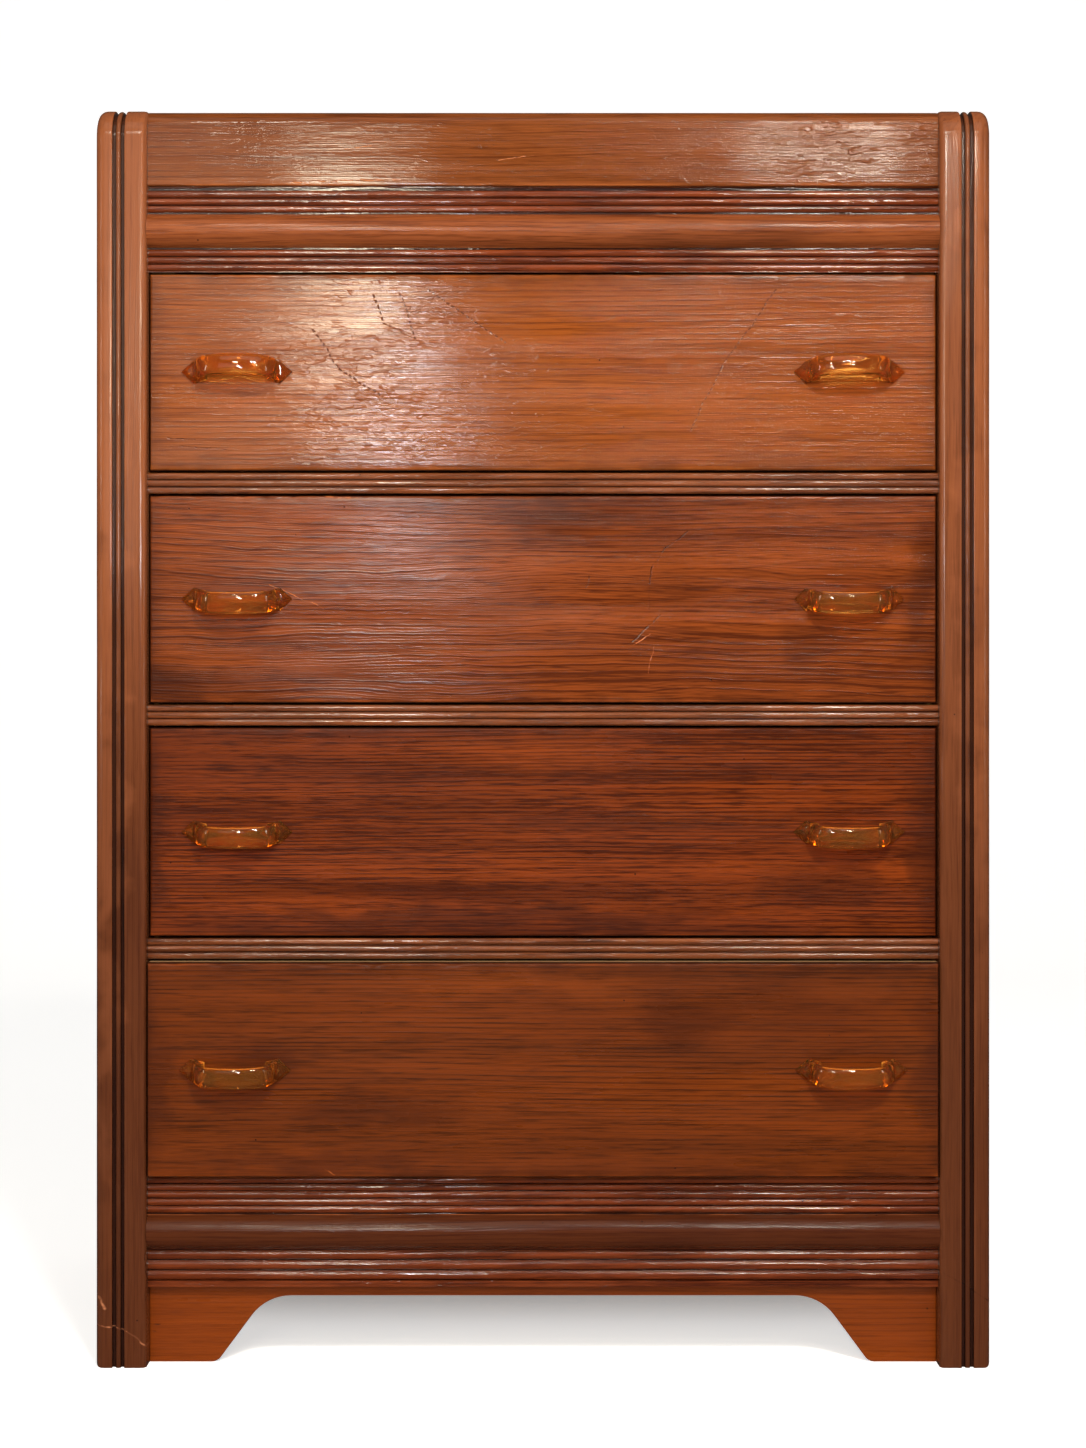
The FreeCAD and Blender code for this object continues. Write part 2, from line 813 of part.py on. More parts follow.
back_x = half_opening + back_rebate
save("back_panel", block((-back_x, back_x), (panel_back_plane, case_back), (arch_height, top_underside)))
for name, z, tenon in zip(("rear_top_rail", "rear_bottom_rail"), (rear_top_z, rear_bottom_z), rear_tenons):
    rail = block((-half_opening, half_opening), rear_rail_y, z)
    save(name, joined(rail, *cross_tenons(tenon)))

strips = {"runners": runners(), "guides": guides(), "stops": stops(), "kickers": [kicker()]}
for name, solids in strips.items():
    save("drawer_" + name, *solids, *[flipped(s) for s in solids])
save("corner_blocks", corner_block(), flipped(corner_block()), *top_blocks())

one_pull = pull()
for number in range(drawer_count):
    save_drawer(number, one_pull)
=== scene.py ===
# %% [markdown]
# # A tall fir dresser with amber pulls
# The CAD model gives every piece its place and true size. This notebook gives them their
# looks: old glossy varnish over fir, worn and dirty mouldings, and pulls of clear amber resin.
# The front is what one sees first, so its mouldings, posts, drawer fronts and pulls are made
# again here as smooth surfaces of the same size. The plain boards keep the CAD shapes, with
# their edges eased.

import math
from types import SimpleNamespace

import bmesh
import bpy
import numpy as np
from mathutils import Matrix, Vector


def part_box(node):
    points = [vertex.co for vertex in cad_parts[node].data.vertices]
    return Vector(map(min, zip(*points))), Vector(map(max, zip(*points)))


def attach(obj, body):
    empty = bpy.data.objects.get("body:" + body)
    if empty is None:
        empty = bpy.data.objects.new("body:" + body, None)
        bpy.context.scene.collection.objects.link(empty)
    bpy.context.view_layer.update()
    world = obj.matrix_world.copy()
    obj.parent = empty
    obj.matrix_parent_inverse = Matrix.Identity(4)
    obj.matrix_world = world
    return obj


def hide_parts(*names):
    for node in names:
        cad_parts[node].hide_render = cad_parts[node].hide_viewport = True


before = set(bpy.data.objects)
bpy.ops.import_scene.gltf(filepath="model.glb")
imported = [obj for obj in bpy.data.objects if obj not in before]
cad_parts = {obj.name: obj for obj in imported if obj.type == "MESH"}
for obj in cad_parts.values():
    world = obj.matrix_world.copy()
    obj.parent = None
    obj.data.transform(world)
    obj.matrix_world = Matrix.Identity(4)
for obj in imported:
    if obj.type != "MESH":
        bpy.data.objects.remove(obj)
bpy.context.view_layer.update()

# %% [markdown]
# ## Sizes
# All profiles are drawn in millimetres, as a joiner would give them, and become metres only
# when a mesh is made. X runs to the right, Y to the back and Z up. The heights of the drawers
# are measured on the CAD pieces.

# %% Main sizes
MM = 0.001
HALF_OPENING = 360.5  # from the middle of the front to a post
HALF_FRONT = 359.1  # half the length of a drawer front
FACE = -208.0  # where the faces of drawers and boards lie
POST_WIDTH = 46.0
POST_FRONT = -220.0
POST_BACK = -176.0
POST_TOP = 1147.0
TOP_SURFACE = 1145.3
INTO_POST = 0.3  # how far the mouldings reach into the posts
FRONT_THICKNESS = 20.0
AJAR = {1: 0.0, 2: 0.0, 3: 0.0, 4: 14.0}  # how far each drawer stands open


def limits(node):
    """Lowest and highest corner of one CAD piece, in millimetres."""
    low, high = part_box(node)
    return np.array(low) / MM, np.array(high) / MM


drawer_foot = {}
drawer_top = {}
for number in AJAR:
    low, high = limits(f"drawer_{number}_front")
    drawer_foot[number] = low[2]
    drawer_top[number] = high[2]
    print("drawer", number, "from", round(low[2], 1), "to", round(high[2], 1), "mm")

# %% [markdown]
# ## The camera
# The photograph looks square at the front from about 2.1 metres, at half the height of the
# piece. The lens is set so that the posts fall at the edges of the frame as they do there.

# %% Camera
CAMERA_PLACE = (0.0, -2.308, 0.5846)
LENS = 57.2  # millimetres
FILM = 36.0  # millimetres, the height of the picture behind the lens


def new_object(name, data):
    """An object in the scene."""
    thing = bpy.data.objects.new(name, data)
    bpy.context.scene.collection.objects.link(thing)
    return thing


camera_data = bpy.data.cameras.new("photo_camera")
camera_data.sensor_fit = "VERTICAL"
camera_data.sensor_height = FILM
camera_data.sensor_width = FILM
camera_data.lens = LENS
camera_data.clip_end = 50.0
camera = new_object("photo_camera", camera_data)
camera.location = CAMERA_PLACE
camera.rotation_euler = (math.pi / 2, 0.0, 0.0)
bpy.context.scene.camera = camera
bpy.context.scene.view_settings.view_transform = "Standard"
print("camera at", tuple(round(v, 3) for v in camera.location), "lens", camera_data.lens)

# %% [markdown]
# ## Tools for shading
# Node trees are long when written out, so a small helper adds a node, sets its values and
# links its inputs in one line. Everything that reads a place on the wood reads the object's
# own coordinates, so the figure of the wood goes with a drawer as it slides.

# %% Node helper
class Graph:
    """Adds nodes to one tree and links them as they are added."""

    def __init__(self, tree):
        self.tree = tree

    def put(self, value, socket):
        """Links a result to a socket, or gives the socket a plain number or colour."""
        if isinstance(value, bpy.types.NodeSocket):
            self.tree.links.new(value, socket)
        else:
            socket.default_value = value

    def add(self, kind, values=None, **settings):
        """One node with its settings, its inputs given by name or number."""
        node = self.tree.nodes.new(kind)
        for key, value in settings.items():
            setattr(node, key, value)
        for key, value in (values or {}).items():
            self.put(value, node.inputs[key])
        return node

    def maths(self, operation, first, *others, clamp=False):
        """An operation on one value, or carried along a row of values."""
        for rest in [{1: other} for other in others] or [{}]:
            node = self.add("ShaderNodeMath", {0: first, **rest}, operation=operation, use_clamp=clamp)
            first = node.outputs[0]
        return first

    def sum(self, *terms, clamp=False):
        """Sum of values."""
        return self.maths("ADD", *terms, clamp=clamp)

    def times(self, *terms):
        """Product of values."""
        return self.maths("MULTIPLY", *terms)

    def vector(self, a, b, operation="ADD"):
        """Result of two vectors."""
        node = self.add("ShaderNodeVectorMath", {0: a, 1: b}, operation=operation)
        return node.outputs["Value" if operation == "DOT_PRODUCT" else "Vector"]

    def stretch(self, a, by):
        """A vector multiplied along each axis."""
        return self.vector(a, by, "MULTIPLY")

    def length(self, a):
        """Length of a vector."""
        return self.add("ShaderNodeVectorMath", {0: a}, operation="LENGTH").outputs["Value"]

    def ramp(self, value, low, high, to_low=0.0, to_high=1.0, smooth=True):
        """A value taken from one range to another, smoothly and clamped."""
        kind = "SMOOTHSTEP" if smooth else "LINEAR"
        values = {"Value": value, "From Min": low, "From Max": high, "To Min": to_low, "To Max": to_high}
        return self.add("ShaderNodeMapRange", values, interpolation_type=kind).outputs["Result"]

    def noise(self, point, scale, detail=2.0, rough=0.5, distortion=0.0):
        """Smooth noise from 0 to 1."""
        values = {"Vector": point, "Scale": scale, "Detail": detail, "Roughness": rough, "Distortion": distortion}
        return self.add("ShaderNodeTexNoise", values).outputs["Fac"]

    def grain(self, point, along, across, detail=2.0, rough=0.5, distortion=0.0):
        """Noise drawn out along the grain: so many waves to the metre along it and across it."""
        return self.noise(self.stretch(point, (along, across, across)), 1.0, detail, rough, distortion)

    def stir(self, point, scale, reach):
        """A point moved about by noise, by up to half of reach each way."""
        values = {"Vector": point, "Scale": scale, "Detail": 3.0}
        noise = self.add("ShaderNodeTexNoise", values).outputs["Color"]
        return self.vector(point, self.stretch(self.vector(noise, (0.5, 0.5, 0.5), "SUBTRACT"), reach))

    def mix(self, share, a, b):
        """Two colours mixed."""
        return self.add("ShaderNodeMix", {0: share, 6: a, 7: b}, data_type="RGBA").outputs[2]

    def place(self):
        """The place on the piece, in the object's own coordinates."""
        return self.add("ShaderNodeTexCoord").outputs["Object"]

    def axes(self, vector):
        """The three numbers of a vector."""
        return self.add("ShaderNodeSeparateXYZ", {0: vector}).outputs

    def attribute(self, name):
        """A value that the piece's surface carries."""
        return self.add("ShaderNodeAttribute", attribute_name=name).outputs["Fac"]

    def group(self, tree, values):
        """Results of a node group."""
        return self.add("ShaderNodeGroup", values, node_tree=tree).outputs

    def finish(self, shader, volume=None, kind="Material"):
        """Ends the tree in its output."""
        output = self.add(f"ShaderNodeOutput{kind}", {"Surface": shader.outputs[0]})
        if volume:
            self.put(volume.outputs[0], output.inputs["Volume"])


def clear_tree(block):
    """The emptied tree of a material or world, with the helper that fills it."""
    block.use_nodes = True
    block.node_tree.nodes.clear()
    return Graph(block.node_tree)


def new_group(name, inputs, outputs):
    """An empty group that puts out values, the helper that fills it, and its two ends."""
    tree = bpy.data.node_groups.new(name, "ShaderNodeTree")
    for label, default in inputs.items():
        kind = "Float" if isinstance(default, float) else "Vector"
        socket = tree.interface.new_socket(label, in_out="INPUT", socket_type="NodeSocket" + kind)
        socket.default_value = default
    for label in outputs:
        tree.interface.new_socket(label, in_out="OUTPUT", socket_type="NodeSocketFloat")
    graph = Graph(tree)
    source = graph.add("NodeGroupInput")
    sink = graph.add("NodeGroupOutput")
    return tree, graph, source.outputs, sink.inputs


NOWHERE = (0.0, 0.0, 0.0)
FLAT = (1.0, 0.0, 1.0)  # keeps a place on the front and drops how deep it lies

# %% [markdown]
# ### The figure of fir
# A board is cut from a round trunk, so its figure is where the board's surface meets the
# yearly rings. The rings are cylinders about the pith, bent by slow noise. Each ring goes from
# pale early wood to a dark late line that ends sharply. Short fibres and slow clouds of stain
# lie over it. The point is given with the grain along X, whatever way the board lies.

# %% Fir figure group
figure_group, g, source, sink = new_group(
    "fir_figure",
    {"Point": NOWHERE, "Pith": (0.0, 0.05, -0.5), "Rings": 260.0, "Wave": 0.004},
    ("Late", "Fibre", "Band", "Cloud", "Ridge"),
)
point = source["Point"]
slow = g.grain(point, 1.3, 5.0, 2.0, 0.45)
quick = g.grain(point, 9.0, 30.0, 2.0, 0.55)
slow_bend = g.times(g.sum(slow, -0.5), source["Wave"], 9.0)
quick_bend = g.times(g.sum(quick, -0.5), source["Wave"])
round_pith = g.stretch(g.vector(point, source["Pith"], "SUBTRACT"), (0.0, 1.0, 1.0))
radius = g.sum(g.length(round_pith), slow_bend, quick_bend)
year = g.grain(round_pith, 0.0, 30.0, 1.0)
rings = g.sum(g.times(radius, source["Rings"]), g.times(year, 3.0))
ring = g.maths("FLOORED_MODULO", rings, 1.0)
rise = g.ramp(ring, 0.52, 0.93)
fall = g.ramp(ring, 0.93, 1.0, 1.0, 0.0)
fine_ring = g.maths("FLOORED_MODULO", g.sum(g.times(rings, 3.3), g.times(quick, 1.6)), 1.0)
fine = g.times(g.ramp(fine_ring, 0.2, 0.8), g.ramp(fine_ring, 0.84, 1.0, 1.0, 0.0))
strength = g.ramp(g.grain(point, 2.6, 16.0, 3.0, 0.6), 0.32, 0.66, 0.2, 1.0)
late = g.times(rise, fall, strength)
long_fibre = g.grain(point, 9.0, 420.0, 3.0, 0.7)
short_fibre = g.grain(point, 34.0, 620.0, 2.0, 0.6)
fibre = g.sum(g.times(long_fibre, 0.5), g.times(short_fibre, 0.5))
g.put(g.sum(g.times(late, 0.85), g.times(fine, 0.3)), sink["Late"])
g.put(fibre, sink["Fibre"])
g.put(g.grain(point, 1.6, 46.0, 3.0, 0.6), sink["Band"])
g.put(g.grain(point, 3.0, 8.0, 3.0, 0.5, 0.4), sink["Cloud"])
g.put(g.sum(g.times(late, 0.6), g.times(fine, 0.3), fibre), sink["Ridge"])
print("fir figure group", len(figure_group.nodes), "nodes")

# %% [markdown]
# ### The old varnish
# Eighty years of dry rooms have broken the varnish into small plates, finer across the grain
# than along it. Cells of noise give the plates, and the distance to the nearest cell border
# gives the valleys between them. Folds and sags go with them in patches, and low lumps and
# slow waves lie all over. Rubbing changes how rough the surface is, and a few dents have
# filled with dirt.

# %% Varnish group
varnish_group, g, source, sink = new_group(
    "old_varnish",
    {"Point": NOWHERE, "Crazing": 0.5, "Ridge": 0.5, "Gloss": 0.25, "Swell": 1.0},
    ("Height", "Roughness", "Pit"),
)
point = source["Point"]
bent = g.stretch(point, (0.3, 1.0, 1.0))
bend = g.add("ShaderNodeTexNoise", {"Vector": bent, "Scale": 70.0, "Detail": 2.0}).outputs["Color"]
warped = g.vector(bent, g.stretch(bend, (0.014, 0.014, 0.014)))
plates = g.add("ShaderNodeTexVoronoi", {"Vector": warped, "Scale": 150.0}, feature="DISTANCE_TO_EDGE")
valley = g.ramp(plates.outputs["Distance"], 0.0, 0.2)
wrinkle = g.times(g.sum(g.grain(point, 46.2, 210.0, 2.0, 0.6, 1.2), -0.5), 2.0)
fold = g.ramp(g.maths("ABSOLUTE", wrinkle), 0.0, 0.16, 1.0, 0.0)
sag = g.ramp(g.grain(point, 64.8, 270.0, 1.5, 0.4, 0.5), 0.57, 0.66)
lumps = g.grain(point, 120.0, 300.0, 2.0, 0.6)
swell = g.grain(point, 16.8, 42.0)
patches = g.ramp(g.grain(point, 14.4, 24.0), 0.38, 0.56, 0.1, 1.0)
amount = g.times(source["Crazing"], patches)
height = g.sum(
    g.times(valley, amount, 0.08), g.times(fold, amount, 0.12), g.times(sag, amount, 0.9),
    g.times(lumps, 0.2), g.times(swell, source["Swell"]), g.times(source["Ridge"], 0.5),
)
g.put(height, sink["Height"])
rubbed = g.times(g.sum(g.grain(point, 5.0, 30.0, 4.0, 0.6), -0.5), 0.25)
g.put(g.sum(source["Gloss"], rubbed), sink["Roughness"])
dents = g.add("ShaderNodeTexVoronoi", {"Vector": point, "Scale": 42.0}).outputs
chosen = g.ramp(g.add("ShaderNodeSeparateColor", {0: dents["Color"]}).outputs[0], 0.66, 0.7)
g.put(g.times(g.ramp(dents["Distance"], 0.022, 0.045, 1.0, 0.0), chosen), sink["Pit"])
print("varnish group", len(varnish_group.nodes), "nodes")

# %% [markdown]
# ### Cracks
# A few long cracks run over the fronts. Each follows a straight line with a little wander and
# comes and goes along its way, because the varnish holds in places. Where it is a row of short
# dashes, they follow each other at an even step.

# %% Crack group
DASH_STEP = 0.0052  # metres

crack_group, g, source, sink = new_group(
    "crack_line",
    {"Point": NOWHERE, "Start": NOWHERE, "End": NOWHERE, "Width": 0.0006, "Dashes": 0.0},
    ("Mask",),
)
place = g.stretch(g.stir(source["Point"], 55.0, (0.006, 0.0, 0.006)), FLAT)
along = g.vector(source["End"], source["Start"], "SUBTRACT")
offset = g.vector(place, source["Start"], "SUBTRACT")
passed = g.vector(offset, along, "DOT_PRODUCT")
share = g.maths("DIVIDE", passed, g.vector(along, along, "DOT_PRODUCT"), clamp=True)
nearest = g.add("ShaderNodeVectorMath", {0: along, "Scale": share}, operation="SCALE").outputs["Vector"]
away = g.length(g.vector(offset, nearest, "SUBTRACT"))
line = g.ramp(away, 0.0, source["Width"], 1.0, 0.0, smooth=False)
held = g.ramp(g.noise(source["Point"], 120.0), 0.42, 0.6, 0.15, 1.0)
beat = g.maths("SINE", g.times(share, g.length(along), 2 * math.pi / DASH_STEP))
gaps = g.times(g.maths("SUBTRACT", 1.0, g.ramp(beat, -0.5, 0.2)), source["Dashes"])
shown = g.times(g.maths("MAXIMUM", held, source["Dashes"]), g.maths("SUBTRACT", 1.0, gaps))
g.put(g.times(line, shown), sink["Mask"])
print("crack group", len(crack_group.nodes), "nodes")

# %% [markdown]
# ### Stains, and sheen on the posts
# Hands, polish and damp have left dark patches, most of them beside the pulls and along the
# edges, and cleaning has left paler ones. The pale ovals down the posts are painted sheen.
# Each is a soft oval with a ragged border.

# %% Oval group
oval_group, g, source, sink = new_group(
    "oval_patch", {"Point": NOWHERE, "Middle": NOWHERE, "Spread": NOWHERE}, ("Mask",)
)
place = g.stir(source["Point"], 22.0, (0.09, 0.0, 0.04))
away = g.stretch(g.vector(place, source["Middle"], "SUBTRACT"), FLAT)
g.put(g.ramp(g.length(g.vector(away, source["Spread"], "DIVIDE")), 0.3, 1.1, 1.0, 0.0), sink["Mask"])
print("stain group", len(oval_group.nodes), "nodes")

# %% [markdown]
# ### One recipe for all the varnished fir
# Each board takes the same recipe with its own colours, its own cut from the trunk and its own
# state of the varnish. The surfaces made in this notebook carry a value called relief, which is
# high on crests and arrises and low in hollows and gaps: crests are rubbed thin and pale, and
# hollows and gaps are darkened as painted shade, with some dark wax and dust. Colours are given
# as the eye reads them on a screen, 0 to 255, and places on the front in millimetres.

# %% Plain state of a board
PLAIN = {
    "axis": "X",  # the way the grain runs
    "rings": 220.0,  # yearly rings to the metre
    "wave": 0.002,  # wander of the rings, in metres
    "pith": (0.05, -0.5),  # where the middle of the trunk passes, across the grain, in metres
    "shift": NOWHERE,  # where along the trunk the board is cut, in metres
    "contrast": 1.0,  # strength of the whole figure
    "banding": 1.0,  # strength of its broad bands
    "clouds": 0.4,  # strength of the dark clouds
    "dark": (52, 20, 9),  # their colour
    "low_stain": 0.0,  # more of that colour towards the floor
    # A pale oval is a cleaned patch on a drawer, and painted sheen on a post.
    "stains": (),  # ovals: middle, spread and share, below zero for a pale one
    "wear": 0.5,  # how far the crests are rubbed
    "gloss": 0.3,  # roughness of the varnish
    "specular": 0.3,
    "crazing": 0.25,  # how broken the varnish is
    "crazed_at": None,  # the oval where it is most broken: middle and spread
    "swell": 1.0,  # slow waves of the varnish
    "depth": 0.00025,  # height of the varnish's relief, in metres
    "cracks": (),  # lines: start, end, width and how far the line is dashed
    "scratches": (),  # lines: start, end and width
    "bare": False,  # whether the surface carries masks of bare wood and of soil
}
TURN = {"X": "XYZ", "Y": "YXZ", "Z": "ZYX"}  # the axes of a piece, the one along the grain first


def rgb(red, green, blue):
    """A colour given as the eye reads it on a screen, made linear."""
    values = np.array([red, green, blue]) / 255.0
    linear = np.where(values > 0.04045, ((values + 0.055) / 1.055) ** 2.4, values / 12.92)
    return (*[float(v) for v in linear], 1.0)


def paler(colour, by, step):
    """A paler colour: every channel multiplied and raised by a step."""
    return rgb(*[min(255, int(v * by) + step) for v in colour])


def on_front(spot):
    """A place on the front, from millimetres to metres."""
    return (spot[0] * MM, 0.0, spot[1] * MM)


# %% Steps of the recipe
def crazing_of(g, look, place):
    """How broken the varnish is: alike all over, or most about one place of the front."""
    if not look.crazed_at:
        return look.crazing
    middle, spread = look.crazed_at
    away = g.vector(place, on_front(middle), "SUBTRACT")
    away = g.stretch(away, (1 / (spread[0] * MM), 0.0, 1 / (spread[1] * MM)))
    return g.ramp(g.length(away), 0.35, 1.0, look.crazing, look.crazing * 0.12)


def figured_wood(g, look, figure):
    """Colour of the wood by its figure, with dark clouds, and the strength of the figure."""
    line = g.times(figure["Late"], look.contrast)
    band = g.ramp(figure["Band"], 0.3, 0.7, -0.1, 0.45, smooth=False)
    streak = g.ramp(figure["Fibre"], 0.46, 0.64, 0.0, 0.5)
    terms = (g.times(line, 0.7), g.times(band, look.contrast * look.banding), g.times(streak, look.contrast))
    figured = g.sum(*terms, 0.05, clamp=True)
    colour = g.mix(figured, rgb(*look.early), rgb(*look.late))
    shade = g.ramp(figure["Cloud"], 0.5, 0.78, 0.0, look.clouds)
    return g.mix(shade, colour, rgb(*look.dark)), figured


def with_stains_and_sheen(g, look, place, colour):
    """Darker towards the floor, and in the ovals darker or paler: dark ovals are stains, pale ones are cleaned
    patches on the drawers and painted sheen on the posts.
    """
    if look.low_stain:
        share = g.ramp(g.axes(place)["Z"], 0.2, 0.9, look.low_stain, 0.0)
        colour = g.mix(share, colour, rgb(*look.dark))
    for middle, spread, share in look.stains:
        values = {"Point": place, "Middle": on_front(middle), "Spread": (spread[0] * MM, 1.0, spread[1] * MM)}
        mask = g.group(oval_group, values)["Mask"]
        # Pale ovals: cleaned patches on the drawers, painted sheen on the posts.
        tone = rgb(*look.dark) if share > 0 else paler(look.early, 1.25, 12)
        colour = g.mix(g.times(mask, abs(share)), colour, tone)
    return colour


def shade_and_wear(g, look, point, colour):
    """Painted shade with some dark wax in the hollows and gaps of the relief, and pale rubbed spots on its crests."""
    relief = g.attribute("relief")
    # Hollows and gaps of the relief are darkened: painted shade, with some dark wax.
    colour = g.mix(g.ramp(relief, -0.9, -0.1, 0.85, 0.0), colour, rgb(30, 12, 8))
    spots = g.ramp(g.grain(point, 12.0, 90.0, 3.0, 0.65), 0.4, 0.62)
    rubbed = g.times(g.ramp(relief, 0.25, 1.1, 0.0, look.wear), spots)
    return g.mix(rubbed, colour, paler(look.early, 1.35, 12))


def marked(g, look, place, colour, height):
    """Dark cracks and pale scratches, which also sink into the varnish."""
    marks = [(*crack, rgb(38, 15, 8), 0.8, -0.9) for crack in look.cracks]
    marks += [(*scratch, 0.0, paler(look.early, 1.5, 40), 0.6, -0.5) for scratch in look.scratches]
    for start, end, width, dashes, tone, share, sink_by in marks:
        values = {"Point": place, "Start": on_front(start), "End": on_front(end), "Width": width * MM}
        mask = g.group(crack_group, {**values, "Dashes": dashes})["Mask"]
        colour = g.mix(g.times(mask, share), colour, tone)
        height = g.sum(height, g.times(mask, sink_by))
    return colour, height


def bared(g, look, point, figured, colour, roughness):
    """Soil along the edges of a board, and dull bare wood where the varnish ends."""
    soil = g.times(g.attribute("soil"), g.ramp(g.noise(point, 30.0, 3.0), 0.3, 0.7, 0.25, 0.9))
    colour = g.mix(soil, colour, rgb(*look.dark))
    raw = g.attribute("bare")
    colour = g.mix(raw, colour, g.mix(figured, rgb(196, 158, 112), rgb(160, 118, 76)))
    return colour, g.sum(roughness, g.times(raw, 0.45))


# %% Varnished fir
def fir(name, **state):
    """Material of one varnished board."""
    look = SimpleNamespace(**{**PLAIN, **state})
    material = bpy.data.materials.new(name)
    g = clear_tree(material)
    place = g.place()
    parts = g.axes(place)
    turned = {number: parts[axis] for number, axis in enumerate(TURN[look.axis])}
    point = g.vector(g.add("ShaderNodeCombineXYZ", turned).outputs[0], look.shift)
    cut = {"Point": point, "Pith": (0.0, *look.pith), "Rings": look.rings, "Wave": look.wave}
    figure = g.group(figure_group, cut)
    coat = {"Point": point, "Ridge": figure["Ridge"], "Swell": look.swell, "Gloss": look.gloss}
    varnish = g.group(varnish_group, {**coat, "Crazing": crazing_of(g, look, place)})

    colour, figured = figured_wood(g, look, figure)
    colour = with_stains_and_sheen(g, look, place, colour)
    colour = shade_and_wear(g, look, point, colour)
    colour, height = marked(g, look, place, colour, varnish["Height"])
    colour = g.mix(g.times(varnish["Pit"], 0.8), colour, rgb(34, 14, 8))
    height = g.sum(height, g.times(varnish["Pit"], -1.2))
    roughness = varnish["Roughness"]
    if look.bare:
        colour, roughness = bared(g, look, point, figured, colour, roughness)
    bump = g.add("ShaderNodeBump", {"Height": height, "Distance": look.depth, "Strength": 1.0})
    finish = {"Base Color": colour, "Roughness": roughness, "Normal": bump.outputs["Normal"]}
    g.finish(g.add("ShaderNodeBsdfPrincipled", {**finish, "Specular IOR Level": look.specular}))
    return material


# %% [markdown]
# ### The marks of eighty years
# Where the stains, cracks and scratches lie was read off the photograph. All places are in
# millimetres, from the middle of the front and from the floor.

# %% Stains, cracks and scratches
STAINS_2 = [
    ((-350, 620), (60, 30), 0.5), ((352, 700), (26, 90), 0.55), ((0, 775), (70, 24), 0.4),
    ((235, 655), (40, 30), 0.35),
]
STAINS_3 = [
    ((355, 480), (26, 100), 0.55), ((-60, 408), (330, 13), 0.55), ((60, 497), (200, 9), 0.4),
    ((250, 440), (60, 30), 0.4), ((0, 560), (110, 26), -0.12), ((-355, 480), (18, 100), 0.4),
]
STAINS_4 = [
    ((125, 314), (55, 34), 0.4), ((230, 330), (150, 42), 0.35), ((-255, 276), (50, 24), 0.5),
    ((-150, 236), (100, 22), 0.4), ((355, 280), (22, 90), 0.4), ((-50, 352), (150, 14), -0.15),
    ((270, 345), (70, 16), -0.12), ((-200, 188), (150, 12), 0.35), ((-355, 270), (18, 90), 0.35),
]
# Pale ovals down the outer strips of the posts and high on the left post: painted sheen.
POST_SHEEN = [((-383, 960), (120, 330), -0.22), ((-399, 620), (22, 560), -0.2), ((399, 800), (22, 560), -0.2)]
CRACKS_1 = [
    ((212, 981), (163, 910), 1.1, 0.8), ((163, 910), (134, 853), 1.0, 0.8),
    ((-210, 944), (-186, 909), 1.1, 1.0), ((-186, 909), (-147, 883), 1.1, 1.0),
    ((-154, 976), (-146, 951), 1.0, 1.0), ((-130, 978), (-117, 937), 1.0, 1.0),
    ((-105, 981), (-61, 951), 1.0, 1.0), ((-61, 951), (-34, 933), 1.0, 1.0),
    ((-146, 951), (-117, 937), 0.8, 0.4), ((-340, 838), (-290, 836), 0.9, 0.3),
    ((-342, 846), (-318, 844), 0.8, 0.3),
]
CRACKS_2 = [
    ((137, 764), (112, 746), 0.9, 0.0), ((112, 746), (99, 727), 0.9, 0.0), ((99, 727), (96, 690), 1.0, 0.0),
    ((107, 684), (77, 657), 1.0, 0.0), ((42, 720), (39, 709), 0.8, 0.0),
]
CRACKS_POST = [((364, 87), (406, 60), 0.8, 0.2), ((-361, 120), (-361, 60), 0.7, 0.3)]
CRACKS_APRON = [((-361, 34), (-350, 34.5), 0.9, 0.0), ((-361, 29), (-354, 28), 0.7, 0.0)]
SCRATCHES_2 = [
    ((97, 667), (82, 657), 0.7), ((101, 656), (96, 632), 0.6), ((-250, 712), (-200, 690), 0.5),
    ((-198, 791.6), (-166, 790.6), 1.3),
]
SCRATCHES_4 = [((-198, 180), (-189, 175.5), 0.9)]
SCRATCHES_POST = [((-407, 40), (-378, 34), 0.9), ((-378, 34), (-358, 17), 0.9), ((-403, 64), (-398, 54), 1.8)]
SCRATCHES_TOP = [((-235, 1079), (-130, 1082), 0.7), ((-180, 1109), (-158, 1112), 0.6), ((-40, 1100), (-8, 1104), 0.5)]
print("stains", len(STAINS_2 + STAINS_3 + STAINS_4 + POST_SHEEN), "cracks", len(CRACKS_1 + CRACKS_2 + CRACKS_POST))
